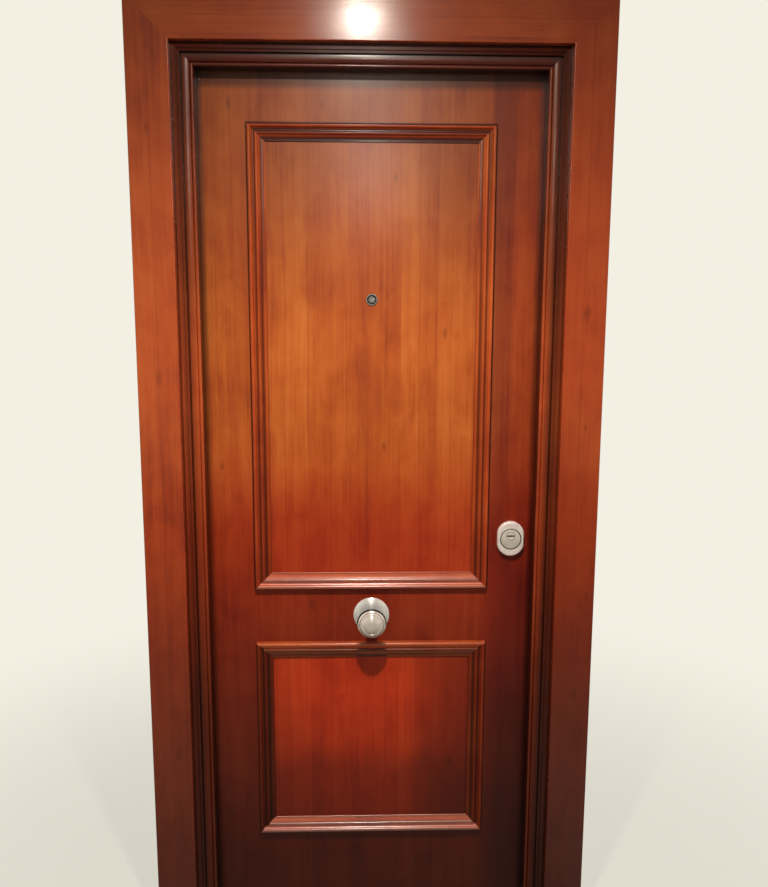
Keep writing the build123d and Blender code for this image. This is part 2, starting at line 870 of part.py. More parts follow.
with BuildPart() as lock_faceplate:
    add(faceplate_blank.part)
    for height in bolt_heights:
        with BuildSketch(facing_right(leaf_side, height)):
            Circle(bolt_radius + bolt_clearance)
        extrude(amount=-faceplate_thickness, mode=Mode.SUBTRACT)
    with BuildSketch(facing_right(leaf_side, latch_height_up)):
        Rectangle(latch_thickness + 2 * latch_clearance, latch_height + 2 * latch_clearance)
    extrude(amount=-faceplate_thickness, mode=Mode.SUBTRACT)
    add(faceplate_screws, mode=Mode.SUBTRACT)
hand_in(lock_faceplate.part, "lock_faceplate")

# The deadbolts are riveted to one plate, which the cam drives along.
bolt_plate_in = key_side + cam_radius + cam_clearance
bolt_plate_out = bolt_plate_in + bolt_plate_width
bolt_plate_half = case_inner_half - running_gap
with BuildPart() as bolt_plate:
    with Locations((bolt_plate_in, 0, bolt_heights[-1] - bolt_plate_end)):
        Box(
            bolt_plate_width,
            2 * bolt_plate_half,
            bolt_heights[0] - bolt_heights[-1] + 2 * bolt_plate_end,
            align=(Align.MIN, Align.CENTER, Align.MIN),
        )
    fillet(bolt_plate.edges().filter_by(Axis.Y), bolt_plate_corner)
hand_in(bolt_plate.part, "bolt_plate")

with BuildPart() as deadbolts:
    for height in bolt_heights:
        with BuildSketch(facing_right(bolt_plate_out, height)):
            Circle(bolt_radius)
        extrude(amount=leaf_side - bolt_plate_out)
    chamfer(deadbolts.edges().group_by(Axis.X)[-1], bolt_nose)
hand_in(deadbolts.part, "deadbolts")

# The latch: a bevelled head, and a tail plate that passes round the follower and carries a lug.
latch_back = leaf_side - latch_length
tail_y = -case_inner_half + running_gap
tail_window = follower_radius + tail_clearance
follower_rest = math.radians(follower_turn / 2)
arm_tip_x = key_side - follower_arm * math.sin(follower_rest)
lug_right = arm_tip_x - follower_arm_half - lug_gap
window_left = key_side - latch_travel - tail_window
window_right = key_side + tail_window
with BuildPart() as latch_bolt:
    with BuildSketch(Plane.XY.offset(latch_height_up - latch_height / 2)):
        with BuildLine():
            Polyline(
                (latch_back, -latch_thickness / 2),
                (leaf_side - latch_travel, -latch_thickness / 2),
                (leaf_side, latch_thickness / 2 - latch_lip),
                (leaf_side, latch_thickness / 2),
                (latch_back, latch_thickness / 2),
                (latch_back, -latch_thickness / 2),
            )
        make_face()
    extrude(amount=latch_height)
    with BuildSketch(facing_out(tail_y + tail_thickness, 0, latch_height_up)):
        with Locations((window_left - tail_rim, 0)):
            Rectangle(
                latch_back + tail_lap - window_left + tail_rim,
                tail_height,
                align=(Align.MIN, Align.CENTER),
            )
        with Locations(((window_left + window_right) / 2, 0)):
            Rectangle(window_right - window_left, 2 * tail_window, mode=Mode.SUBTRACT)
    extrude(amount=tail_thickness)
    with BuildSketch(facing_out(tail_y + tail_thickness, lug_right, latch_height_up + tail_window)):
        Rectangle(lug_width, lug_height, align=(Align.MAX, Align.MIN))
    extrude(amount=-(follower_arm_thickness / 2 - tail_y - tail_thickness))
hand_in(latch_bolt.part, "latch_bolt")

with BuildPart() as lock_follower:
    with BuildSketch(facing_out(-lock_case_half, key_side, latch_height_up)):
        Circle(follower_radius)
    extrude(amount=-2 * lock_case_half)
    with BuildSketch(facing_out(-follower_arm_thickness / 2, key_side, latch_height_up)):
        with Locations(Rotation(0, 0, follower_turn / 2)):
            with Locations((0, follower_arm / 2)):
                Rectangle(2 * follower_arm_half, follower_arm)
            with Locations((0, follower_arm)):
                Circle(follower_arm_half)
    extrude(amount=-follower_arm_thickness)
    with BuildSketch(facing_out(-lock_case_half, key_side, latch_height_up)):
        Rectangle(spindle_size, spindle_size)
    extrude(amount=-2 * lock_case_half, mode=Mode.SUBTRACT)
hand_in(lock_follower.part, "lock_follower")

# Lock cylinder: the body, the outer plug with its rotor and the inside turn with the cam
cylinder_outer_end = outer_face - cylinder_outer_stand
cylinder_inner_end = inner_face + inner_escutcheon_thickness
cylinder_length = cylinder_inner_end - cylinder_outer_end
with BuildPart() as cylinder_body:
    with BuildSketch(facing_out(cylinder_outer_end, key_side, key_height)):
        add(cylinder_profile())
    extrude(amount=-cylinder_length)
    with BuildSketch(facing_out(cylinder_outer_end, key_side, key_height)):
        Circle(plug_radius + plug_clearance)
    extrude(amount=-cylinder_length, mode=Mode.SUBTRACT)
    add(cam_sweep.part, mode=Mode.SUBTRACT)
hand_in(cylinder_body.part, "cylinder_body")

rotor_back = cylinder_outer_end - running_gap
disc_front = outer_face - escutcheon_thickness + disc_sink
rotor_front = disc_front + rotor_sink
plug_end = -cam_width / 2
with BuildPart() as cylinder_plug:
    with BuildSketch(facing_out(plug_end, key_side, key_height)):
        Circle(plug_radius)
    extrude(amount=plug_end - rotor_back)
    with BuildSketch(facing_out(rotor_back, key_side, key_height)):
        Rectangle(keyway_width, keyway_thickness)
    extrude(amount=-keyway_depth, mode=Mode.SUBTRACT)
hand_in(cylinder_plug.part, "cylinder_plug")

with BuildPart() as key_rotor:
    with BuildSketch(facing_out(rotor_back, key_side, key_height)):
        Circle(rotor_radius)
    extrude(amount=rotor_back - rotor_front)
    chamfer(key_rotor.edges().group_by(Axis.Y)[0], rotor_edge)
    with BuildSketch(facing_out(rotor_back, key_side, key_height)):
        SlotOverall(rotor_slot_width, rotor_slot_thickness)
    extrude(amount=rotor_back - rotor_front, mode=Mode.SUBTRACT)
hand_in(key_rotor.part, "key_rotor")

thumb_foot = cylinder_inner_end + running_gap
with BuildPart() as thumbturn:
    with BuildSketch(facing_in(plug_end + cam_width, key_side, key_height)):
        Circle(plug_radius)
    extrude(amount=thumb_foot - plug_end - cam_width)
    with BuildSketch(facing_in(plug_end, key_side, key_height)):
        Circle(plug_radius)
        with Locations((0, -cam_radius / 2)):
            Rectangle(cam_width, cam_radius)
        Circle(cam_radius, mode=Mode.INTERSECT)
    extrude(amount=cam_width)
    with BuildSketch(facing_in(thumb_foot, key_side, key_height)):
        Circle(thumb_collar_radius)
    extrude(amount=thumb_collar_height)
    chamfer(thumbturn.edges().group_by(Axis.Y)[-1], thumb_collar_edge)
    with BuildSketch(facing_in(thumb_foot + thumb_collar_height - thumb_collar_edge, key_side, key_height)):
        SlotOverall(thumb_grip_width, thumb_grip_thickness, rotation=90)
    extrude(amount=thumb_grip_reach)
    fillet(thumbturn.edges().group_by(Axis.Y)[-1], thumb_edge)
hand_in(thumbturn.part, "thumbturn")

# Escutcheons
disc_back = disc_front + disc_thickness
with BuildPart() as outer_escutcheon:
    with BuildSketch(facing_out(outer_face, key_side, disc_height)):
        add(escutcheon_outline())
    extrude(amount=escutcheon_thickness)
    fillet(outer_escutcheon.faces().sort_by(Axis.Y)[0].edges(), escutcheon_edge)
    with BuildSketch(facing_out(disc_back, key_side, disc_height)):
        Circle(disc_radius + disc_gap)
    extrude(amount=disc_thickness + disc_sink, mode=Mode.SUBTRACT)
    with BuildSketch(facing_out(outer_face, key_side, key_height)):
        Circle(rotor_radius + rotor_clearance)
        add(cylinder_profile(cylinder_clearance))
    extrude(amount=escutcheon_thickness, mode=Mode.SUBTRACT)
    for height in escutcheon_bolt_heights:
        with BuildSketch(facing_out(outer_face, key_side, height)):
            Circle(escutcheon_bolt_radius)
        extrude(amount=escutcheon_bolt_bite, mode=Mode.SUBTRACT)
hand_in(outer_escutcheon.part, "outer_escutcheon")

with BuildPart() as escutcheon_disc:
    with BuildSketch(facing_out(disc_back, key_side, disc_height)):
        Circle(disc_radius)
    extrude(amount=disc_thickness)
    fillet(escutcheon_disc.edges().group_by(Axis.Y)[0], disc_edge)
    with BuildSketch(facing_out(disc_back, key_side, key_height)):
        Circle(rotor_radius + rotor_clearance)
    extrude(amount=disc_thickness, mode=Mode.SUBTRACT)
hand_in(escutcheon_disc.part, "escutcheon_disc")

with BuildPart() as inner_escutcheon:
    with BuildSketch(facing_in(inner_face, key_side, disc_height)):
        add(escutcheon_outline())
    extrude(amount=inner_escutcheon_thickness)
    fillet(inner_escutcheon.faces().sort_by(Axis.Y)[-1].edges(), inner_escutcheon_edge)
    with BuildSketch(facing_out(inner_face, key_side, key_height)):
        add(cylinder_profile(cylinder_clearance))
    extrude(amount=-inner_escutcheon_thickness, mode=Mode.SUBTRACT)
    for height in escutcheon_bolt_heights:
        with BuildSketch(facing_in(inner_face, key_side, height)):
            Circle(escutcheon_bolt_radius)
        extrude(amount=inner_escutcheon_thickness, mode=Mode.SUBTRACT)
        with BuildSketch(facing_in(inner_face + inner_escutcheon_thickness, key_side, height)):
            Circle(escutcheon_bolt_head_radius)
        extrude(amount=-escutcheon_bolt_head_depth, mode=Mode.SUBTRACT)
hand_in(inner_escutcheon.part, "inner_escutcheon")

bolt_head_face = inner_face + inner_escutcheon_thickness
with BuildPart() as leaf_screws:
    add(faceplate_screws)
    for height in hinge_heights.values():
        add(hinge_screws(leaf_hinge_face, height))
    for height in escutcheon_bolt_heights:
        with BuildSketch(facing_in(bolt_head_face, key_side, height)):
            Circle(escutcheon_bolt_head_radius)
        extrude(amount=-escutcheon_bolt_head_depth)
        with BuildSketch(facing_in(bolt_head_face, key_side, height)):
            Circle(escutcheon_bolt_radius)
        extrude(amount=-(bolt_head_face - outer_face + escutcheon_bolt_bite))
hand_in(leaf_screws.part, "leaf_screws")

# Pull knob on its rose, turned, with a bolt through the leaf
with BuildPart() as knob_rose:
    with BuildSketch(turning_out(outer_face, 0, knob_height)):
        with BuildLine():
            Polyline(
                (knob_bolt_radius, rose_height),
                (knob_bolt_radius, 0),
                (rose_radius, 0),
                (rose_radius, rose_rim),
                (rose_radius - rose_bevel, rose_rim + rose_bevel_rise),
            )
            TangentArc(
                (rose_top_radius, rose_height),
                (rose_radius - rose_bevel, rose_rim + rose_bevel_rise),
                tangent=(1, 0),
            )
            Line((rose_top_radius, rose_height), (knob_bolt_radius, rose_height))
        make_face()
    revolve(axis=Axis((0, 0, knob_height), (0, 1, 0)))
hand_in(knob_rose.part, "knob_rose")

knob_back_radius = (neck_radius + knob_radius) / 2 - knob_back_sag
knob_back_height = (neck_length + knob_rim_start) / 2 + knob_back_sag
with BuildPart() as pull_knob:
    with BuildSketch(turning_out(outer_face, 0, knob_height)):
        with BuildLine():
            Polyline(
                (0, knob_reach),
                (0, rose_height),
                (neck_radius, rose_height),
                (neck_radius, neck_length),
            )
            ThreePointArc(
                (neck_radius, neck_length),
                (knob_back_radius, knob_back_height),
                (knob_radius - knob_rim_edge, knob_rim_start),
            )
            ThreePointArc(
                (knob_radius - knob_rim_edge, knob_rim_start),
                (knob_radius, (knob_rim_start + knob_rim_end) / 2),
                (knob_radius - knob_rim_edge, knob_rim_end),
            )
            Polyline(
                (knob_radius - knob_rim_edge, knob_rim_end),
                (knob_step_radius, knob_step_height),
                (knob_cap_radius, knob_step_height),
                (knob_cap_radius, knob_cap_height - knob_cap_edge),
            )
            RadiusArc(
                (knob_cap_radius, knob_cap_height - knob_cap_edge),
                (knob_cap_radius - knob_cap_edge, knob_cap_height),
                -knob_cap_edge,
            )
            Polyline(
                (knob_cap_radius - knob_cap_edge, knob_cap_height),
                (knob_ring_radius, knob_cap_height + knob_ring_rise),
                (knob_ring_radius - knob_ring_depth, knob_cap_height - knob_ring_rise),
            )
            dome(knob_ring_radius - knob_ring_depth, knob_cap_height - knob_ring_rise, knob_reach)
        make_face()
    revolve(axis=Axis((0, 0, knob_height), (0, 1, 0)))
    with BuildSketch(facing_out(outer_face - rose_height, 0, knob_height)):
        Circle(knob_bolt_radius)
    extrude(amount=knob_bolt_bite, mode=Mode.SUBTRACT)
hand_in(pull_knob.part, "pull_knob")

knob_bolt_start = outer_face - rose_height - knob_bolt_bite
knob_bolt_end = inner_face + knob_bolt_bite_in_cap
with BuildPart() as knob_bolt:
    with BuildSketch(facing_in(knob_bolt_start, 0, knob_height)):
        Circle(knob_bolt_radius)
    extrude(amount=knob_bolt_end - knob_bolt_start)
hand_in(knob_bolt.part, "knob_bolt")

with BuildPart() as knob_cap:
    with BuildSketch(turning_in(inner_face, 0, knob_height)):
        with BuildLine():
            Polyline(
                (0, knob_cap_nut_height),
                (0, knob_bolt_bite_in_cap),
                (knob_bolt_radius, knob_bolt_bite_in_cap),
                (knob_bolt_radius, 0),
                (knob_cap_nut_radius, 0),
                (knob_cap_nut_radius, knob_cap_nut_rim),
            )
            dome(knob_cap_nut_radius, knob_cap_nut_rim, knob_cap_nut_height)
        make_face()
    revolve(axis=Axis((0, 0, knob_height), (0, 1, 0)))
hand_in(knob_cap.part, "knob_cap")

# Door viewer
well_radius = viewer_flange_radius - viewer_rim
well_floor = viewer_flange_height - viewer_well_depth
with BuildPart() as viewer_barrel:
    with BuildSketch(turning_out(outer_face, 0, viewer_height)):
        with BuildLine():
            Polyline(
                (viewer_bore_radius, -viewer_tube_length),
                (viewer_tube_radius, -viewer_tube_length),
                (viewer_tube_radius, 0),
                (viewer_flange_radius, 0),
                (viewer_flange_radius, viewer_flange_height - viewer_edge),
                (viewer_flange_radius - viewer_edge, viewer_flange_height),
                (well_radius, viewer_flange_height),
                (well_radius - viewer_well_taper, well_floor),
                (viewer_lens_radius, well_floor),
                (viewer_lens_radius, well_floor - viewer_lens_seat),
                (viewer_bore_radius, well_floor - viewer_lens_seat),
                (viewer_bore_radius, -viewer_tube_length),
            )
        make_face()
    revolve(axis=Axis((0, 0, viewer_height), (0, 1, 0)))
hand_in(viewer_barrel.part, "viewer_barrel")

with BuildPart() as viewer_lens:
    with BuildSketch(turning_out(outer_face, 0, viewer_height)):
        with BuildLine():
            Polyline(
                (0, well_floor + viewer_lens_crown),
                (0, well_floor - viewer_lens_seat),
                (viewer_lens_radius, well_floor - viewer_lens_seat),
                (viewer_lens_radius, well_floor),
            )
            dome(viewer_lens_radius, well_floor, well_floor + viewer_lens_crown)
        make_face()
    revolve(axis=Axis((0, 0, viewer_height), (0, 1, 0)))
hand_in(viewer_lens.part, "viewer_lens")

cover_height = viewer_height + cover_pivot_rise
cover_face = inner_face + eyepiece_flange_height
with BuildPart() as viewer_eyepiece:
    with BuildSketch(turning_in(inner_face, 0, viewer_height)):
        with BuildLine():
            Polyline(
                (viewer_bore_radius - eyepiece_tube_wall, -eyepiece_bite),
                (viewer_bore_radius, -eyepiece_bite),
                (viewer_bore_radius, 0),
                (eyepiece_flange_radius, 0),
                (eyepiece_flange_radius, eyepiece_flange_height - eyepiece_edge),
                (eyepiece_flange_radius - eyepiece_edge, eyepiece_flange_height),
                (viewer_bore_radius - eyepiece_tube_wall, eyepiece_flange_height),
                (viewer_bore_radius - eyepiece_tube_wall, -eyepiece_bite),
            )
        make_face()
    revolve(axis=Axis((0, 0, viewer_height), (0, 1, 0)))
    with BuildSketch(facing_in(cover_face, 0, cover_height)):
        Circle(cover_pin_radius)
    extrude(amount=cover_thickness + 2 * cover_gap)
hand_in(viewer_eyepiece.part, "viewer_eyepiece")

with BuildPart() as viewer_cover:
    with BuildSketch(facing_in(cover_face + cover_gap, 0, viewer_height)):
        Circle(cover_radius)
        with Locations((0, cover_pivot_rise)):
            Circle(cover_tab_radius)
        with Locations((0, cover_pivot_rise)):
            Circle(cover_pin_radius + plug_clearance, mode=Mode.SUBTRACT)
    extrude(amount=cover_thickness)
hand_in(viewer_cover.part, "viewer_cover")

# Inside knob on its rose, with the square spindle that turns the follower
inner_rose_bore = inner_neck_radius + running_gap
with BuildPart() as inner_knob_rose:
    with BuildSketch(facing_in(inner_face, key_side, latch_height_up)):
        Circle(inner_rose_radius)
    extrude(amount=inner_rose_height)
    fillet(inner_knob_rose.edges().group_by(Axis.Y)[-1], inner_rose_edge)
    with BuildSketch(facing_in(inner_face, key_side, latch_height_up)):
        Circle(inner_rose_bore)
    extrude(amount=inner_rose_height, mode=Mode.SUBTRACT)
hand_in(inner_knob_rose.part, "inner_knob_rose")

inner_neck_foot = inner_face + running_gap
inner_grip_foot = inner_face + inner_neck_length
inner_knob_face = inner_face + inner_knob_reach
spindle_end = inner_neck_foot + spindle_grip
with BuildPart() as inner_knob:
    with BuildSketch(facing_in(inner_grip_foot, key_side, latch_height_up)):
        Ellipse(inner_grip_width / 2, inner_grip_height / 2)
    extrude(amount=inner_knob_face - inner_grip_foot)
    fillet(inner_knob.edges(), inner_grip_edge)
    with BuildSketch(facing_in(inner_neck_foot, key_side, latch_height_up)):
        Circle(inner_neck_radius)
    extrude(amount=inner_grip_foot + inner_grip_edge - inner_neck_foot)
    with BuildSketch(facing_in(inner_neck_foot, key_side, latch_height_up)):
        Rectangle(spindle_size, spindle_size)
    extrude(amount=spindle_grip, mode=Mode.SUBTRACT)
hand_in(inner_knob.part, "inner_knob")

with BuildPart() as spindle:
    with BuildSketch(facing_in(-lock_case_half, key_side, latch_height_up)):
        Rectangle(spindle_size, spindle_size)
    extrude(amount=spindle_end + lock_case_half)
hand_in(spindle.part, "spindle")
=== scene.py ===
import math

import bpy
from mathutils import Matrix, Vector


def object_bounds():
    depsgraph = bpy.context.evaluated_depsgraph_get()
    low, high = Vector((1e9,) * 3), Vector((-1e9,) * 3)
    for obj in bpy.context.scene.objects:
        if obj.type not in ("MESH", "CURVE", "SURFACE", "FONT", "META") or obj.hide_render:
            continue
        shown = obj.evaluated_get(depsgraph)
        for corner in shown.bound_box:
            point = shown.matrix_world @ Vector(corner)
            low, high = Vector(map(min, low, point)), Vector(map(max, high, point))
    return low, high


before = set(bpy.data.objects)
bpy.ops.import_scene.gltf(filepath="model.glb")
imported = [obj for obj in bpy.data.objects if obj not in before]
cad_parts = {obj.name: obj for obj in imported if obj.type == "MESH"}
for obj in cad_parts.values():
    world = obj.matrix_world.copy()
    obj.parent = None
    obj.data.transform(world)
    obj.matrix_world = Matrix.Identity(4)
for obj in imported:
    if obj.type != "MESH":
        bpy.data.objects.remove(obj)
cad_low, cad_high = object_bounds()

# Places in the part, in metres. Sides are measured from the middle of the door.
NOSE_SIDE = 0.4005
NOSE_HEAD = 2.103
FRAME_FACE = 0.050
SIGHT_SIDE = 0.249
UPPER_SIGHT = (0.915, 1.950)
LOWER_SIGHT = (0.251, 0.691)
MOULDING_WIDTH = 0.042
PULL_AXIS = (0.0, 0.803)
KEY_AXIS = (0.3475, 1.0092)
DISC_AXIS = (0.3475, 1.0017)
LATCH_AXIS = (0.3475, 1.0942)
VIEWER_AXIS = (0.0, 1.590)

# The ramps that follow the height give it as a share of these.
LEAF_RISE = 2.2
TRIM_RISE = 2.25

# The two ways in which grain runs.
UPRIGHT = True
LEVEL = False

WHITE = (1.0, 1.0, 1.0, 1.0)
NICKEL = (0.66, 0.63, 0.585, 1.0)
WARM_NICKEL = (0.95, 0.90, 0.82, 1.0)
PALE_NICKEL = (0.84, 0.79, 0.72, 1.0)
STEEL = (0.56, 0.56, 0.56, 1.0)
ZINC = (0.46, 0.47, 0.48, 1.0)
BACKDROP = (0.896, 0.871, 0.765, 1.0)

# Wood from its lightest tone to its deepest, and where each one lies in the grain.
LEAF_TONES = ((0.68, 0.190, 0.036, 1.0), (0.57, 0.130, 0.022, 1.0),
              (0.44, 0.082, 0.016, 1.0), (0.23, 0.038, 0.013, 1.0))
TRIM_TONES = ((0.62, 0.135, 0.032, 1.0), (0.52, 0.094, 0.022, 1.0),
              (0.40, 0.064, 0.018, 1.0), (0.20, 0.032, 0.012, 1.0))
TONE_PLACES = (0.0, 0.38, 0.66, 1.0)
KNOT_TONE = (0.115, 0.018, 0.008, 1.0)
# Wood turns redder between these heights, from the upper one down.
BLUSH_HEIGHTS = (1.32, 0.98)
BLUSH_TINT = (0.88, 0.38, 0.50, 1.0)

# Knots on the outer face, as across, height and radius, and those on the architraves.
LEAF_KNOTS = ((-0.1145, 2.031, 0.0045), (-0.331, 2.033, 0.006), (0.0546, 1.872, 0.0035),
              (0.1763, 1.511, 0.005), (0.0297, 1.234, 0.0035), (-0.366, 1.186, 0.004),
              (0.205, 0.40, 0.007), (-0.150, 0.83, 0.006))
TRIM_KNOTS = ((-0.502, 1.966, 0.006), (-0.497, 2.137, 0.005), (-0.494, 1.409, 0.009),
              (0.499, 1.560, 0.007), (0.505, 0.62, 0.006), (-0.480, 0.47, 0.006))
KNOT_STRETCH = 2.2

# Painted light and shade by height, as place and level: the leaf's stiles and rails, its fields, the trim
# and the frame, each darker towards the foot and the head than where the lamp's light falls most.
STILE_PAINTED_LIGHT = ((0.0, 0.15), (0.09, 0.17), (0.26, 0.38), (0.37, 0.55),
              (0.55, 0.88), (0.66, 0.78), (0.83, 0.57), (1.0, 0.54))
FIELD_LIGHT_POOL = ((0.10, 0.55), (0.20, 0.74), (0.27, 1.0), (0.36, 0.95), (0.45, 0.80),
              (0.58, 0.84), (0.68, 0.82), (0.80, 0.68), (0.886, 0.58), (1.0, 0.58))
TRIM_PAINTED_LIGHT = ((0.0, 0.22), (0.26, 0.47), (0.45, 0.84), (0.62, 0.90), (0.85, 0.66), (1.0, 0.62))
FRAME_PAINTED_LIGHT = ((0.0, 0.18), (0.26, 0.29), (0.45, 0.64), (0.60, 0.86), (0.655, 0.76),
              (0.70, 0.60), (0.75, 0.46), (0.81, 0.41), (0.91, 0.30), (1.0, 0.30))
# Painted light and shade on the two sides of the mouldings, by height in metres.
LEFT_MOULDING_PAINTED_LIGHT = ((0.25, 0.22), (0.69, 0.38), (0.95, 0.72), (1.0, 0.80))
RIGHT_MOULDING_PAINTED_LIGHT = ((0.25, 0.38), (0.69, 0.58), (0.95, 0.78), (1.0, 0.85))

# Across the profiles, outwards from the stop's nose and outwards from a moulding's inner edge: darker in
# the grooves and hollows, with painted shade and painted light; levels above one are painted light where
# the profile's own shade falls.
FRAME_LINES = (
    (0.0, 0.24), (0.006, 0.30), (0.02, 1.0), (0.16, 1.08), (0.185, 1.30), (0.21, 0.90), (0.42, 0.72),
    (0.48, 0.50), (0.495, 0.22), (0.54, 0.22), (0.56, 0.52), (0.66, 0.56), (0.68, 0.40), (0.70, 0.56),
    (0.78, 0.60), (0.82, 0.80), (0.87, 0.80), (0.90, 0.30), (1.0, 0.20))
UPRIGHT_LINES = (
    (0.0, 0.50), (0.04, 0.60), (0.07, 0.85), (0.14, 0.80), (0.20, 0.50), (0.25, 0.26), (0.32, 0.24),
    (0.37, 0.65), (0.50, 0.78), (0.55, 0.50), (0.60, 0.28), (0.65, 0.40), (0.70, 0.80), (0.76, 0.95),
    (0.90, 0.95), (0.94, 0.60), (0.96, 0.25), (1.0, 0.20))
UPRIGHT_LINES_HIGH = (
    (0.0, 0.85), (0.045, 0.90), (0.065, 0.30), (0.27, 0.30), (0.30, 0.65), (0.37, 0.75), (0.50, 0.76),
    (0.53, 0.32), (0.68, 0.30), (0.72, 0.62), (0.92, 0.62), (0.95, 0.22), (1.0, 0.18))
UPPER_TOP_LINES = (
    (0.0, 0.12), (0.24, 0.14), (0.27, 0.48), (0.36, 0.60), (0.46, 0.46), (0.49, 0.15), (0.68, 0.13),
    (0.70, 0.85), (0.85, 0.80), (0.875, 0.36), (0.89, 0.15), (1.0, 0.12))
LOWER_TOP_LINES = (
    (0.0, 0.30), (0.18, 0.25), (0.22, 0.60), (0.38, 0.75), (0.41, 0.30), (0.47, 0.22), (0.55, 0.26),
    (0.60, 1.20), (0.66, 1.40), (0.76, 1.20), (0.92, 0.85), (1.0, 0.75))
UPPER_BOTTOM_LINES = (
    (0.0, 0.60), (0.03, 1.05), (0.14, 1.20), (0.24, 1.00), (0.30, 1.15), (0.36, 0.80), (0.42, 0.40),
    (0.48, 0.70), (0.54, 1.50), (0.62, 1.55), (0.68, 1.25), (0.73, 0.90), (0.80, 0.75), (0.85, 0.62),
    (0.91, 0.90), (0.97, 0.95), (1.0, 0.6))
LOWER_BOTTOM_LINES = (
    (0.0, 0.55), (0.03, 0.80), (0.12, 0.95), (0.24, 1.15), (0.30, 0.95), (0.36, 0.55), (0.42, 0.30),
    (0.48, 0.55), (0.54, 1.25), (0.62, 1.50), (0.70, 1.20), (0.75, 0.80), (0.80, 0.48), (0.92, 0.42),
    (1.0, 0.3))
# Tone across the viewer's front, from its axis to its rim, with painted shade in the well between the lens
# and the rim.
VIEWER_RADIUS = 0.014
VIEWER_RINGS = ((0.0, 0.9), (0.56, 0.9), (0.60, 0.03), (0.80, 0.04),
                (0.86, 0.70), (0.93, 0.60), (1.0, 0.20))


class Graph:
    """Short calls for the nodes of one tree."""

    def __init__(self, tree):
        self.tree = tree

    def give(self, socket, value):
        if isinstance(value, bpy.types.NodeSocket):
            self.tree.links.new(value, socket)
        else:
            socket.default_value = value

    def add(self, kind, inputs, **options):
        node = self.tree.nodes.new("ShaderNode" + kind)
        for name, value in options.items():
            setattr(node, name, value)
        for key, value in inputs.items():
            self.give(node.inputs[key], value)
        return node

    def math(self, operation, a, b=0.0, clamp=False):
        return self.add("Math", {0: a, 1: b}, operation=operation, use_clamp=clamp).outputs[0]

    def plus(self, a, b):
        return self.math("ADD", a, b)

    def minus(self, a, b):
        return self.math("SUBTRACT", a, b)

    def times(self, a, b):
        return self.math("MULTIPLY", a, b)

    def over(self, a, b):
        return self.math("DIVIDE", a, b)

    def larger(self, a, b):
        return self.math("MAXIMUM", a, b)

    def above(self, a, b):
        return self.math("GREATER_THAN", a, b)

    def below(self, a, b):
        return self.math("LESS_THAN", a, b)

    def size(self, a):
        return self.math("ABSOLUTE", a)

    def span(self, value, low, high, to_low=0.0, to_high=1.0, smooth=False):
        kind = "SMOOTHSTEP" if smooth else "LINEAR"
        keys = {0: value, 1: low, 2: high, 3: to_low, 4: to_high}
        return self.add("MapRange", keys, interpolation_type=kind).outputs[0]

    def mix(self, factor, a, b, blend="MIX"):
        keys = {0: factor, 6: a, 7: b}
        return self.add("Mix", keys, data_type="RGBA", blend_type=blend).outputs[2]

    def tinted(self, color, by):
        return self.mix(1.0, color, by, blend="MULTIPLY")

    def tinted_where(self, mask, color, by):
        return self.mix(mask, color, self.tinted(color, by))

    def joined(self, x, y, z):
        return self.add("CombineXYZ", {0: x, 1: y, 2: z}).outputs[0]

    def length(self, vector):
        return self.add("VectorMath", {0: vector}, operation="LENGTH").outputs["Value"]

    def scaled(self, vector, x, y, z):
        return self.add("Mapping", {0: vector, 3: (x, y, z)}).outputs[0]

    def noise(self, vector, scale=1.0, detail=2.0, roughness=0.5, distortion=0.0):
        keys = {"Vector": vector, "Scale": scale, "Detail": detail,
                "Roughness": roughness, "Distortion": distortion}
        return self.add("TexNoise", keys).outputs[0]

    def ramp(self, value, stops):
        node = self.add("ValToRGB", {0: value})
        points = node.color_ramp.elements
        while len(points) < len(stops):
            points.new(1.0)
        for point, (place, color) in zip(points, stops):
            point.position = place
            point.color = color
        return node.outputs[0]

    def grey_ramp(self, value, stops):
        return self.ramp(value, tuple((place, tone(level)) for place, level in stops))


class Finish(Graph):
    """A material, with the object's own axes at hand."""

    def __init__(self, name):
        self.material = bpy.data.materials.new(name)
        self.material.use_nodes = True
        super().__init__(self.material.node_tree)
        self.shader = self.tree.nodes["Principled BSDF"]
        self.place = self.add("TexCoord", {}).outputs["Object"]
        self.axes = self.add("SeparateXYZ", {0: self.place}).outputs

    def bump(self, height, strength, distance):
        keys = {"Strength": strength, "Distance": distance, "Height": height}
        self.give(self.shader.inputs["Normal"], self.add("Bump", keys).outputs[0])

    def set(self, **values):
        for name, value in values.items():
            self.give(self.shader.inputs[name.replace("_", " ")], value)


def tone(level):
    return (level, level, level, 1.0)


def grain_axes(finish, upright, seed):
    """Coordinates across the grain, along it and through the board."""
    x, y, z = finish.axes
    across, along = (x, z) if upright else (z, x)
    sway = 0.012
    seed_step_across = 0.731
    seed_step_deep = 0.37
    wander = finish.noise(finish.scaled(finish.place, 3.0, 3.0, 1.6), detail=1.0)
    across = finish.plus(across, finish.times(wander, sway))
    across = finish.plus(across, seed * seed_step_across)
    deep = finish.plus(y, seed * seed_step_deep)
    return finish.joined(across, along, deep), across


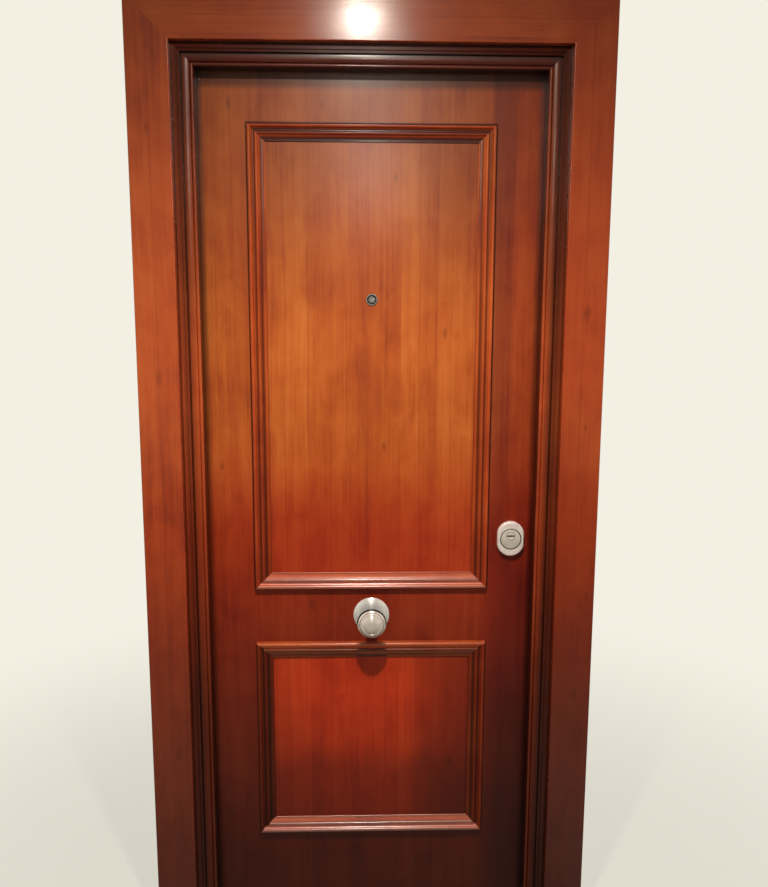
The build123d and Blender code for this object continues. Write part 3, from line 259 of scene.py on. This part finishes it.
def knot_mask(finish, vector, lines, streaks, knots):
    """Small sparse flecks in the veneer, and the knots at their own places."""
    x, y, z = finish.axes
    flecks = finish.add("TexVoronoi", {"Vector": finish.scaled(vector, 42.0, 10.0, 30.0), "Scale": 1.0})
    sparse = finish.add("SeparateColor", {0: flecks.outputs["Color"]}).outputs[2]
    near = finish.span(flecks.outputs["Distance"], 0.03, 0.15, 1.0, 0.0, smooth=True)
    spots = finish.times(near, finish.span(sparse, 0.84, 0.97, 0.0, 0.6))
    frayed_by_lines = 0.7
    frayed_by_streaks = 2.2
    heart_and_rim = (0.3, 2.1)
    strength = 0.44
    for place, height, radius in knots:
        gap = finish.add("CombineXYZ", {0: finish.over(finish.minus(x, place), radius),
                                        1: finish.over(finish.minus(z, height), radius * KNOT_STRETCH)})
        gap = finish.plus(finish.length(gap.outputs[0]), finish.times(lines, frayed_by_lines))
        gap = finish.plus(gap, finish.times(finish.minus(streaks, 0.5), frayed_by_streaks))
        spots = finish.larger(spots, finish.span(gap, *heart_and_rim, strength, 0.0, smooth=True))
    return spots


def wood(name, upright, seed, tones=TRIM_TONES, strip=0.055, gloss=0.3, blush=0.45, tone_and_shade=None, knots=(),
         lacquer=0.28, shine=0.30, relief=0.10):
    """Stained and lacquered veneer or solid wood with its grain upright or level."""
    finish = Finish(name)
    vector, across = grain_axes(finish, upright, seed)
    cells = {"W": finish.over(across, strip), "Scale": 1.0}
    strips = finish.add("TexVoronoi", cells, voronoi_dimensions="1D")
    joints = finish.add("TexVoronoi", cells, voronoi_dimensions="1D", feature="DISTANCE_TO_EDGE")
    leaf = finish.add("SeparateColor", {0: strips.outputs["Color"]}).outputs
    shifted = finish.add("VectorMath", {0: vector, 1: strips.outputs["Color"]}).outputs[0]

    fine = finish.noise(finish.scaled(shifted, 850.0, 22.0, 40.0), detail=3.0, roughness=0.6)
    lines = finish.noise(finish.scaled(shifted, 170.0, 4.5, 20.0), detail=3.0, roughness=0.6)
    streaks = finish.noise(finish.scaled(shifted, 55.0, 2.4, 9.0), detail=2.0, roughness=0.55)
    clouds = finish.noise(finish.scaled(vector, 15.0, 9.0, 6.0), detail=4.0, roughness=0.6, distortion=0.5)
    broad = finish.noise(finish.scaled(vector, 5.5, 3.6, 2.0), detail=2.0)

    mean_depth = 0.34
    strip_share = 0.16
    depth = finish.times(leaf[0], strip_share)
    for part, share in ((lines, 0.62), (streaks, 0.50), (clouds, 0.95), (broad, 0.80), (fine, 0.22)):
        depth = finish.plus(depth, finish.times(finish.minus(part, 0.5), share))
    depth = finish.math("ADD", depth, mean_depth, clamp=True)
    color = finish.ramp(depth, tuple(zip(TONE_PLACES, tones)))
    strip_tint = 0.28
    color = finish.mix(finish.times(leaf[1], strip_tint), color, tones[2])
    seam_width = 0.030
    seam_strength = 0.35
    seam = finish.span(joints.outputs["Distance"], 0.0, seam_width, seam_strength, 0.0)
    color = finish.mix(seam, color, tones[3])
    color = finish.mix(knot_mask(finish, vector, lines, streaks, knots), color, KNOT_TONE)

    low = finish.span(finish.axes[2], *BLUSH_HEIGHTS, 0.0, blush, smooth=True)
    color = finish.mix(low, color, BLUSH_TINT, blend="MULTIPLY")
    # The piece's painted light and shade, if it has any, is laid on here.
    if tone_and_shade is not None:
        color = finish.tinted(color, tone_and_shade(finish))

    rough = finish.span(clouds, 0.2, 0.8, gloss - 0.04, gloss + 0.06)
    finish.set(Base_Color=color, Roughness=rough, Specular_IOR_Level=shine,
               Coat_Weight=lacquer(finish) if callable(lacquer) else lacquer,
               Coat_Roughness=max(gloss - 0.16, 0.06), Coat_IOR=1.33 + shine * 0.5)
    grainy = finish.plus(fine, finish.times(lines, 1.5))
    finish.bump(grainy, relief, 0.0004)
    return finish.material


def above_sight(finish, sight):
    """How far a point lies above or below a framed field, negative between its two ends."""
    low, high = sight
    rise = finish.size(finish.minus(finish.axes[2], (low + high) / 2))
    return finish.minus(rise, (high - low) / 2)


def in_fields(finish):
    """One inside the two framed fields of the leaf, and nought round them."""
    x, y, z = finish.axes
    within = None
    for low, high in (UPPER_SIGHT, LOWER_SIGHT):
        rise = finish.size(finish.minus(z, (low + high) / 2))
        rise = finish.below(rise, (high - low) / 2)
        within = rise if within is None else finish.plus(within, rise)
    return finish.times(finish.below(finish.size(x), SIGHT_SIDE), within)


def stile_tone_and_shade(finish, height):
    """Painted light and shade on the stiles and rails, darker downwards, with painted shade along the stops
    and under the head, and a dark line along the mouldings' outer edges that is partly a joint and partly
    painted shade. The lock's stile is redder, darker lower down, with a darker strip.
    """
    x, y, z = finish.axes
    red_tint = (1.0, 0.68, 0.80, 1.0)
    strip_tint = (0.72, 0.70, 0.95, 1.0)
    outer = finish.grey_ramp(height, STILE_PAINTED_LIGHT)
    right = finish.span(x, 0.262, 0.33, smooth=True)
    outer = finish.tinted_where(right, outer, finish.span(z, 1.7, 0.5, 0.80, 0.50))
    outer = finish.tinted_where(right, outer, red_tint)
    strip = finish.times(finish.span(x, 0.280, 0.290), finish.span(x, 0.350, 0.326, smooth=True))
    strip = finish.times(strip, finish.span(z, 0.80, 1.05, smooth=True))
    outer = finish.tinted_where(strip, outer, strip_tint)
    # Painted shade next to the stops and under the head; the dark line along the mouldings' outer edges is
    # partly a joint and partly painted shade.
    by_stop, by_head, by_moulding = 0.32, 0.34, 0.30
    shade = finish.span(finish.size(x), 0.384, NOSE_SIDE, 1.0, by_stop, smooth=True)
    shade = finish.times(shade, finish.span(z, 2.060, 2.080, 1.0, by_head, smooth=True))
    reach = finish.larger(above_sight(finish, UPPER_SIGHT), finish.minus(finish.size(x), SIGHT_SIDE))
    shade = finish.times(shade, finish.span(reach, 0.0425, 0.0465, by_moulding, 1.0, smooth=True))
    return finish.tinted(outer, shade)


def field_tone_and_light_pool(finish, height):
    """A painted pool of light on the fields, lightest in the middle of its height, with painted shade at
    the lower field's sides, foot and right side, and on the upper field's top sides round the sheen; the
    lower field is also warmer in tone.
    """
    x, y, z = finish.axes
    width = finish.size(x)
    pool = finish.grey_ramp(height, FIELD_LIGHT_POOL)
    sides = finish.span(finish.times(width, finish.span(z, 0.9, 0.6)), 0.10, 0.25, 1.0, 0.72)
    right = finish.span(finish.times(x, finish.span(z, 0.9, 0.7)), 0.02, 0.2, 1.0, 0.80)
    pool = finish.tinted(pool, finish.times(sides, right))
    warm_tint = (1.20, 0.92, 0.66, 1.0)
    crown_tone = tone(0.84)
    crown_tint = (0.92, 0.88, 0.88, 1.0)
    upward_wave, sideways_wave = 0.22, 0.10
    wave = finish.noise(finish.scaled(finish.place, 9.0, 1.0, 2.0), detail=2.0)
    foot = finish.plus(z, finish.times(finish.minus(wave, 0.5), upward_wave))
    edge = finish.plus(x, finish.times(finish.minus(wave, 0.5), sideways_wave))
    dim = finish.times(finish.span(foot, 0.36, 0.47, 0.62, 1.0, smooth=True),
                       finish.span(edge, 0.18, 0.06, 0.66, 1.0, smooth=True))
    pool = finish.tinted(pool, finish.larger(dim, finish.span(z, 0.70, 0.90)))
    pool = finish.tinted(pool, finish.mix(finish.span(z, 0.80, 0.60), WHITE, warm_tint))
    # Painted shade on the upper field's top sides, round the sheen.
    crown = finish.span(z, 1.50, 1.80)
    pool = finish.tinted_where(finish.times(crown, finish.span(width, 0.04, 0.16)), pool, crown_tone)
    return finish.tinted_where(finish.times(crown, finish.span(x, 0.03, 0.16)), pool, crown_tint)


def leaf_tone_and_shade(finish):
    """The framed fields and the stiles and rails each take their own painted light and shade, which leaves
    the stiles and rails darker.
    """
    height = finish.over(finish.axes[2], LEAF_RISE)
    return finish.mix(in_fields(finish), stile_tone_and_shade(finish, height), field_tone_and_light_pool(finish, height))


def trim_tone_and_shade(finish):
    """Painted light and shade on the trim: darkest at the foot and at the head, with painted shade on its
    lower right; it is also darker and redder on the right.
    """
    x, y, z = finish.axes
    lower_right_tone = tone(0.72)
    right_tint = (0.88, 0.72, 0.62, 1.0)
    fall = finish.grey_ramp(finish.over(z, TRIM_RISE), TRIM_PAINTED_LIGHT)
    # Painted shade on the lower right of the trim.
    lower_right = finish.times(finish.span(x, -0.1, 0.4), finish.span(z, 1.4, 0.6))
    fall = finish.tinted_where(lower_right, fall, lower_right_tone)
    return finish.tinted_where(finish.span(x, 0.40, 0.45), fall, right_tint)


def frame_shade_and_light(finish):
    """Painted shade and light across the frame: darker in the groove and the notch, painted shade on the
    stop's return, at the architrave's edge, on the right jamb's band and on the head, painted light in the
    quirk, and painted light and shade by height.
    """
    x, y, z = finish.axes
    past_side = finish.minus(finish.size(x), NOSE_SIDE)
    past_head = finish.minus(z, NOSE_HEAD)
    offset = finish.span(finish.larger(past_side, past_head), 0.0, FRAME_FACE)
    lines = finish.grey_ramp(offset, FRAME_LINES)
    fall = finish.grey_ramp(finish.over(z, TRIM_RISE), FRAME_PAINTED_LIGHT)
    right_share = 0.52
    right_tone = tone(0.22)
    # Painted shade on the right jamb's band.
    right = finish.times(finish.span(offset, 0.18, 0.40), finish.above(x, NOSE_SIDE))
    lines = finish.mix(finish.times(right, right_share), lines, right_tone)
    # Painted shade on the head.
    head_tint = (0.62, 0.46, 0.65, 1.0)
    head = finish.above(past_head, past_side)
    fall = finish.tinted_where(head, fall, head_tint)
    return finish.tinted(lines, fall)


def moulding_offset(finish):
    """Place in a planted moulding's width, from 0 at its inner edge to 1 at its outer one."""
    side = finish.minus(finish.size(finish.axes[0]), SIGHT_SIDE)
    upper = finish.larger(side, above_sight(finish, UPPER_SIGHT))
    lower = finish.larger(side, above_sight(finish, LOWER_SIGHT))
    return finish.span(finish.math("MINIMUM", upper, lower), 0.0, MOULDING_WIDTH)


def bead_lacquer(finish):
    """Lacquer that lies thick on the outer bead alone."""
    bead = (0.58, 0.72)
    thin, thick = 0.12, 1.0
    return finish.span(moulding_offset(finish), *bead, thin, thick)


def moulding_tone_and_shade(stops, high_stops=None, falls=False, tint=(1.0, 0.92, 0.95, 1.0)):
    """Darker in a planted moulding's hollows, with painted light where its own shade falls and, if it has
    them, other painted light and shade high up; it can also take painted light and shade by height and
    side.
    """
    def tone_and_shade(finish):
        x, y, z = finish.axes
        offset = moulding_offset(finish)
        lines = finish.grey_ramp(offset, stops)
        if high_stops is not None:
            high = finish.span(z, 1.50, 1.85, smooth=True)
            lines = finish.mix(high, lines, finish.grey_ramp(offset, high_stops))
        # Painted light and shade by height and side, with painted shade along the right mouldings' outer
        # edge.
        if falls:
            left = finish.grey_ramp(z, LEFT_MOULDING_PAINTED_LIGHT)
            right = finish.grey_ramp(z, RIGHT_MOULDING_PAINTED_LIGHT)
            fall = finish.mix(finish.above(x, 0.0), left, right)
            fall = finish.mix(finish.span(z, 1.0, 1.25), fall, WHITE)
            lines = finish.tinted(lines, fall)
            edge_tone = tone(0.14)
            edge = finish.times(finish.span(offset, 0.925, 0.945), finish.above(x, 0.0))
            lines = finish.mix(edge, lines, edge_tone)
        return finish.tinted(lines, tint)
    return tone_and_shade


def outwards_from(finish, axis):
    """The way outwards from an axis that runs through the door, as long as the distance from it."""
    x, y, z = finish.axes
    return finish.joined(finish.minus(x, axis[0]), 0.0, finish.minus(z, axis[1]))


def radius_from(finish, axis):
    return finish.length(outwards_from(finish, axis))


def metal(name, color, roughness, axis=None, body=1.0, shade=None, streak=0.0):
    """Turned or stamped metal with a satin finish, brushed round its axis if it has one."""
    finish = Finish(name)
    smear = finish.noise(finish.place, scale=70.0, detail=3.0, roughness=0.6)
    speck = finish.noise(finish.place, scale=2600.0, detail=1.0)
    if axis is None:
        marks = finish.noise(finish.scaled(finish.place, 300.0, 300.0, 5200.0), detail=1.0)
    else:
        rings_per_metre = 2400.0
        rings = {"W": finish.times(radius_from(finish, axis), rings_per_metre), "Scale": 1.0, "Detail": 1.0}
        marks = finish.add("TexNoise", rings, noise_dimensions="1D").outputs[0]
    darkening = 0.82
    marks_share = 0.16
    dark = tuple(c * darkening for c in color[:3]) + (1.0,)
    skin = finish.mix(finish.span(smear, 0.35, 0.70), color, dark)
    skin = finish.mix(finish.times(marks, marks_share), skin, dark)
    if shade is not None:
        skin = finish.tinted(skin, shade(finish))
    polish, wear_off = 0.04, 0.12
    rough = finish.span(smear, 0.3, 0.75, roughness - polish, roughness + wear_off)
    finish.set(Base_Color=skin, Metallic=body, Roughness=rough)
    if streak > 0.0:
        finish.set(Anisotropic=streak, Tangent=outwards_from(finish, axis))
    finish.bump(finish.plus(marks, finish.times(speck, 0.2)), 0.04, 0.0002)
    return finish.material


def escutcheon_shade(finish):
    """Painted shade darkens the ring-shaped gap round the disc."""
    recess_radius = 0.0272
    front = -0.0340
    gap_shade = tone(0.04)
    inside = finish.below(radius_from(finish, DISC_AXIS), recess_radius)
    sunk = finish.above(finish.axes[1], front)
    return finish.mix(finish.times(inside, sunk), WHITE, gap_shade)


def key_shade(finish):
    """The rotor is nearly black in and at the slot for the key, and behind the slot's front."""
    x, y, z = finish.axes
    half_width, half_height = 0.0098, 0.0019
    slot_front = (-0.0334, -0.0328)
    wide = finish.over(finish.size(finish.minus(x, KEY_AXIS[0])), half_width)
    high = finish.over(finish.size(finish.minus(z, KEY_AXIS[1])), half_height)
    slot = finish.span(finish.larger(wide, high), 0.90, 1.10, 0.03, 1.0)
    return finish.times(finish.span(y, *slot_front, 1.0, 0.05), slot)


def disc_shade(finish):
    """The disc has a dark seam round its edge and round the rotor, and dims downwards."""
    disc_edge = (0.0239, 0.0247)
    rotor_edge = (0.0106, 0.0116)
    low_and_high = (0.990, 1.012)
    rim = finish.span(radius_from(finish, DISC_AXIS), *disc_edge, 1.0, 0.12, smooth=True)
    seam = finish.span(radius_from(finish, KEY_AXIS), *rotor_edge, 0.35, 1.0, smooth=True)
    low = finish.span(finish.axes[2], *low_and_high, 0.74, 1.0)
    return finish.times(finish.times(rim, low), seam)


def viewer_shade(finish):
    """The viewer's well is dark between its bright rim and the lens."""
    place = finish.span(radius_from(finish, VIEWER_AXIS), 0.0, VIEWER_RADIUS)
    ring = finish.grey_ramp(place, VIEWER_RINGS)
    front_end = -0.020
    front = finish.below(finish.axes[1], front_end)
    return finish.mix(front, WHITE, ring)


def knob_shade(finish):
    """The head's outermost edge and its back are dark, and so is the seam round its cap."""
    x, y, z = finish.axes
    head_edge = (0.0331, 0.0339)
    head_back = (-0.0835, -0.0815)
    cap_radius = 0.0300
    away = radius_from(finish, PULL_AXIS)
    edge = finish.times(finish.span(away, *head_edge), finish.span(z, 0.794, 0.806))
    edge = finish.span(edge, 0.0, 1.0, 1.0, 0.04)
    back = finish.span(y, *head_back, 1.0, 0.10)
    seam = finish.span(finish.size(finish.minus(away, cap_radius)), 0.0004, 0.0012, 0.45, 1.0)
    low = finish.span(z, 0.774, 0.800, 0.62, 1.0, smooth=True)
    return finish.times(finish.times(edge, back), finish.times(seam, low))


def rubber(name):
    finish = Finish(name)
    pores = finish.noise(finish.place, scale=1800.0, detail=2.0)
    dust = finish.noise(finish.place, scale=30.0, detail=3.0)
    color = finish.mix(finish.span(dust, 0.4, 0.8), (0.020, 0.013, 0.010, 1.0), (0.05, 0.035, 0.028, 1.0))
    finish.set(Base_Color=color, Roughness=finish.span(pores, 0.3, 0.7, 0.62, 0.80))
    finish.bump(pores, 0.2, 0.0003)
    return finish.material


def glass(name):
    finish = Finish(name)
    smudge = finish.noise(finish.place, scale=400.0, detail=2.0)
    finish.set(Base_Color=(0.90, 0.92, 0.93, 1.0), Roughness=finish.span(smudge, 0.4, 0.8, 0.02, 0.10),
               Transmission_Weight=1.0, IOR=1.52)
    return finish.material


def board(name):
    """Raw core of glued wood, seen only in the holes through the leaf."""
    finish = Finish(name)
    chips = finish.noise(finish.place, scale=420.0, detail=4.0, roughness=0.7)
    color = finish.mix(chips, (0.36, 0.24, 0.13, 1.0), (0.62, 0.47, 0.30, 1.0))
    finish.set(Base_Color=color, Roughness=0.8)
    finish.bump(chips, 0.4, 0.0005)
    return finish.material


def wear(*names, material):
    for name in names:
        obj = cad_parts[name]
        obj.data.materials.clear()
        obj.data.materials.append(material)


def dress_leaf():
    wear("outer_board",
         material=wood("outer_veneer", UPRIGHT, 1.0, LEAF_TONES, strip=0.045, gloss=0.42, blush=1.0,
                       tone_and_shade=leaf_tone_and_shade, knots=LEAF_KNOTS, lacquer=0.42, shine=0.15))
    wear("inner_board",
         material=wood("inner_veneer", UPRIGHT, 7.3, LEAF_TONES, strip=0.048, gloss=0.34, blush=0.2))
    wear("leaf_core", material=board("raw_core"))
    wear("lipping_left", "lipping_right",
         material=wood("lipping_wood", UPRIGHT, 3.1, strip=0.2, gloss=0.36))


def dress_frame():
    for side, seed, strip in (("left", 11.0, 0.065), ("right", 12.7, 0.07)):
        wear("architrave_" + side,
             material=wood("architrave_%s_veneer" % side, UPRIGHT, seed, strip=strip, gloss=0.26,
                           tone_and_shade=trim_tone_and_shade, knots=TRIM_KNOTS))
    wear("architrave_head",
         material=wood("architrave_head_veneer", LEVEL, 14.2, strip=0.065, gloss=0.21, tone_and_shade=trim_tone_and_shade))
    wear("inner_architrave_left", "inner_architrave_right",
         material=wood("inner_architrave_veneer", UPRIGHT, 17.0, strip=0.060, gloss=0.26, blush=0.2))
    wear("inner_architrave_head",
         material=wood("inner_head_veneer", LEVEL, 18.5, strip=0.060, gloss=0.26, blush=0.2))
    strip = 0.09
    wear("jamb_left", "jamb_right",
         material=wood("jamb_wood", UPRIGHT, 21.0, strip=strip, gloss=0.28, tone_and_shade=frame_shade_and_light,
                       lacquer=0.15, shine=0.2))
    wear("frame_head",
         material=wood("head_wood", LEVEL, 23.0, strip=strip, gloss=0.34, tone_and_shade=frame_shade_and_light,
                       lacquer=0.0, shine=0.1))
    wear("stop_left", "stop_right",
         material=wood("stop_wood", UPRIGHT, 25.0, strip=strip, gloss=0.30, tone_and_shade=frame_shade_and_light,
                       lacquer=0.12, shine=0.2))
    wear("stop_head",
         material=wood("stop_head_wood", LEVEL, 27.0, strip=strip, gloss=0.36, tone_and_shade=frame_shade_and_light,
                       lacquer=0.55, shine=0.2, relief=0.02))
    wear("frame_seal", material=rubber("seal_rubber"))


def dress_mouldings():
    strip = 0.11
    upright = moulding_tone_and_shade(UPRIGHT_LINES, UPRIGHT_LINES_HIGH, falls=True, tint=(0.98, 0.80, 0.98, 1.0))
    wear("upper_moulding_left", "upper_moulding_right", "lower_moulding_left", "lower_moulding_right",
         material=wood("moulding_upright_wood", UPRIGHT, 31.0, LEAF_TONES, strip, gloss=0.34, blush=0.55,
                       tone_and_shade=upright, lacquer=0.12, shine=0.15))
    upper_top = moulding_tone_and_shade(UPPER_TOP_LINES, tint=(0.86, 0.56, 0.80, 1.0))
    wear("upper_moulding_top",
         material=wood("upper_top_wood", LEVEL, 33.0, LEAF_TONES, strip, gloss=0.34, blush=0.55,
                       tone_and_shade=upper_top, lacquer=0.2, shine=0.2))
    lower_top = moulding_tone_and_shade(LOWER_TOP_LINES)
    wear("lower_moulding_top",
         material=wood("lower_top_wood", LEVEL, 35.0, LEAF_TONES, strip, gloss=0.36, blush=0.25,
                       tone_and_shade=lower_top, lacquer=bead_lacquer, shine=0.35, relief=0.02))
    for name, stops in (("upper", UPPER_BOTTOM_LINES), ("lower", LOWER_BOTTOM_LINES)):
        wear(name + "_moulding_bottom",
             material=wood(name + "_bottom_wood", LEVEL, 37.0, LEAF_TONES, strip, gloss=0.38, blush=0.45,
                           tone_and_shade=moulding_tone_and_shade(stops), lacquer=1.0, shine=1.0, relief=0.02))


def dress_metal():
    wear("knob_rose",
         material=metal("rose_nickel", (0.94, 0.96, 0.93, 1.0), 0.32, PULL_AXIS, body=0.6, streak=0.8))
    wear("knob_cap",
         material=metal("cap_nickel", (0.95, 0.90, 0.84, 1.0), 0.30, PULL_AXIS, body=0.6, streak=0.8))
    wear("pull_knob",
         material=metal("pull_nickel", WARM_NICKEL, 0.30, PULL_AXIS, body=0.6, shade=knob_shade,
                        streak=0.8))
    wear("outer_escutcheon",
         material=metal("escutcheon_nickel", (0.97, 0.87, 0.83, 1.0), 0.36, body=0.3,
                        shade=escutcheon_shade))
    wear("escutcheon_disc",
         material=metal("disc_nickel", (0.96, 0.88, 0.77, 1.0), 0.32, DISC_AXIS, body=0.4,
                        shade=disc_shade))
    wear("key_rotor",
         material=metal("rotor_nickel", WARM_NICKEL, 0.30, KEY_AXIS, body=0.4, shade=key_shade))
    wear("inner_escutcheon", material=metal("inner_plate_nickel", NICKEL, 0.30))
    wear("thumbturn", material=metal("thumbturn_nickel", NICKEL, 0.26, KEY_AXIS))
    wear("inner_knob", "inner_knob_rose", material=metal("inner_knob_nickel", NICKEL, 0.24, LATCH_AXIS))
    wear("viewer_barrel",
         material=metal("barrel_nickel", PALE_NICKEL, 0.26, VIEWER_AXIS, body=0.75, shade=viewer_shade))
    wear("viewer_eyepiece", "viewer_cover", material=metal("viewer_nickel", NICKEL, 0.22, VIEWER_AXIS))
    wear("viewer_lens", material=glass("lens_glass"))
    wear("strike_plate", "lock_faceplate", "latch_bolt", "deadbolts",
         material=metal("plated_steel", STEEL, 0.26))
    wear("frame_screws", "leaf_screws", material=metal("screw_steel", STEEL, 0.30))
    wear("lock_case", "bolt_plate", "lock_follower", "spindle", "knob_bolt",
         material=metal("zinc_steel", ZINC, 0.42))
    wear("cylinder_body", "cylinder_plug", material=metal("cylinder_nickel", (0.60, 0.56, 0.50, 1.0), 0.30))
    hinges = [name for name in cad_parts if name.startswith("hinge_")]
    wear(*hinges, material=metal("hinge_nickel", NICKEL, 0.30))


def lay_floor():
    """The floor, plain and pale, keeps the shadow of the door."""
    reach = 6.0
    sink = 0.0005
    corners = [(-reach, -reach, 0), (reach, -reach, 0), (reach, reach, 0), (-reach, reach, 0)]
    mesh = bpy.data.meshes.new("floor")
    mesh.from_pydata(corners, [], [(0, 1, 2, 3)])
    floor = bpy.data.objects.new("floor", mesh)
    floor.location.z = cad_low.z - sink
    bpy.context.scene.collection.objects.link(floor)
    ground = Finish("pale_floor")
    speckle = ground.noise(ground.place, scale=9.0, detail=4.0)
    stone = ground.mix(speckle, (0.40, 0.38, 0.34, 1.0), (0.46, 0.44, 0.40, 1.0))
    ground.set(Base_Color=stone, Roughness=0.6)
    looked = ground.add("LightPath", {}).outputs["Is Camera Ray"]
    near, far = 0.6, 2.4
    least_glow = 0.66
    away = ground.span(ground.length(ground.place), near, far, least_glow, 1.0, smooth=True)
    glow = ground.add("Emission", {"Color": BACKDROP, "Strength": 1.0})
    blend = {0: ground.times(looked, away), 1: ground.shader.outputs[0], 2: glow.outputs[0]}
    blend = ground.add("MixShader", blend)
    ground.give(ground.tree.nodes["Material Output"].inputs["Surface"], blend.outputs[0])
    mesh.materials.append(ground.material)


def build_world():
    """The world gives the pale background, a low, even fill and something plain to mirror."""
    world = bpy.data.worlds.new("studio")
    world.use_nodes = True
    bpy.context.scene.world = world
    world.node_tree.nodes.clear()
    sky = Graph(world.node_tree)
    path = sky.add("LightPath", {}).outputs
    seen = sky.larger(path["Is Camera Ray"], path["Is Transmission Ray"])
    direction = sky.add("TexCoord", {}).outputs["Generated"]
    forward = sky.add("SeparateXYZ", {0: direction}).outputs["Y"]
    dark_end, bright_end = -0.82, -0.55
    least, most = 0.40, 0.85
    dimmed = sky.span(forward, dark_end, bright_end, least, most)
    fill = sky.add("Background", {"Color": (1.0, 0.95, 0.88, 1.0), "Strength": 0.06})
    mirrored = sky.add("Background", {"Color": (0.90, 0.76, 0.64, 1.0), "Strength": dimmed})
    pale = sky.add("Background", {"Color": BACKDROP})
    first = sky.add("MixShader", {0: path["Is Glossy Ray"], 1: fill.outputs[0], 2: mirrored.outputs[0]})
    second = sky.add("MixShader", {0: seen, 1: first.outputs[0], 2: pale.outputs[0]})
    sky.add("OutputWorld", {"Surface": second.outputs[0]})


def hang(name, data, place):
    obj = bpy.data.objects.new(name, data)
    obj.location = place
    obj.visible_camera = False
    bpy.context.scene.collection.objects.link(obj)
    return obj


def panel(name, place, target, size, power, color, height=None):
    """A round lamp, or an upright rectangle if it has a height."""
    data = bpy.data.lights.new(name, "AREA")
    data.shape = "DISK" if height is None else "RECTANGLE"
    data.size = size
    if height is not None:
        data.size_y = height
    data.energy = power
    data.color = color
    obj = hang(name, data, place)
    obj.rotation_euler = (Vector(target) - Vector(place)).to_track_quat("-Z", "Y").to_euler()
    return obj


def light_scene():
    """A small ceiling lamp with its wide beam, a soft glow at the sides and a fill behind the door."""
    warm = (1.0, 0.91, 0.80)
    ceiling = Vector((-0.02, -1.02, 2.475))
    panel("ceiling_disc", ceiling, ceiling - Vector((0, 0, 1)), size=0.056, power=20.5, color=warm)
    beam = bpy.data.lights.new("ceiling_beam", "SPOT")
    beam.spot_size = math.radians(140)
    beam.spot_blend = 1.0
    beam.shadow_soft_size = 0.05
    beam.energy = 93.0
    beam.color = warm
    over_disc = Vector((0, 0, 0.06))
    hang("ceiling_beam", beam, ceiling + over_disc).visible_glossy = False
    # This one gives only the soft sheen on the lacquer of the upper field.
    sheen = panel("sheen_strip", (0.024, -1.60, 2.135), (0.0, -0.04, 1.90), size=0.03, power=4.6,
                  color=(1.0, 0.98, 0.88), height=0.34)
    sheen.visible_diffuse = False
    for name, side in (("left", -1.2), ("right", 1.2)):
        panel("side_glow_" + name, (side, -0.9, 1.25), (0.0, -0.05, 1.2), size=0.5, power=2.6,
              color=(1.0, 0.95, 0.85), height=2.1)
    panel("room_fill", (0.7, 2.5, 2.3), (0.0, 0.0, 1.1), size=1.4, power=60.0, color=(1.0, 0.95, 0.88))


def stand_camera():
    """The camera stands where the photographer stood, with the lens given in pixels of the image."""
    lens_pixels = 870.0
    image_height_pixels = 887.0
    sensor = 36.0
    place = (-0.0325, -2.1282, 1.585)
    pitch = math.radians(9.251)
    yaw = math.radians(1.710)
    roll = math.radians(0.221)
    forward = Vector((math.sin(yaw) * math.cos(pitch), math.cos(yaw) * math.cos(pitch), -math.sin(pitch)))
    level_right = Vector((math.cos(yaw), -math.sin(yaw), 0.0))
    level_up = level_right.cross(forward)
    right = level_right * math.cos(roll) + level_up * math.sin(roll)
    up = level_up * math.cos(roll) - level_right * math.sin(roll)
    data = bpy.data.cameras.new("camera")
    data.sensor_width = sensor
    data.lens = lens_pixels * sensor / image_height_pixels
    camera = bpy.data.objects.new("camera", data)
    turn = Matrix((right, up, -forward)).transposed().to_4x4()
    camera.matrix_world = Matrix.Translation(place) @ turn
    bpy.context.scene.collection.objects.link(camera)
    bpy.context.scene.camera = camera


dress_leaf()
dress_frame()
dress_mouldings()
dress_metal()
lay_floor()
build_world()
light_scene()
stand_camera()
bpy.context.scene.view_settings.view_transform = "Standard"
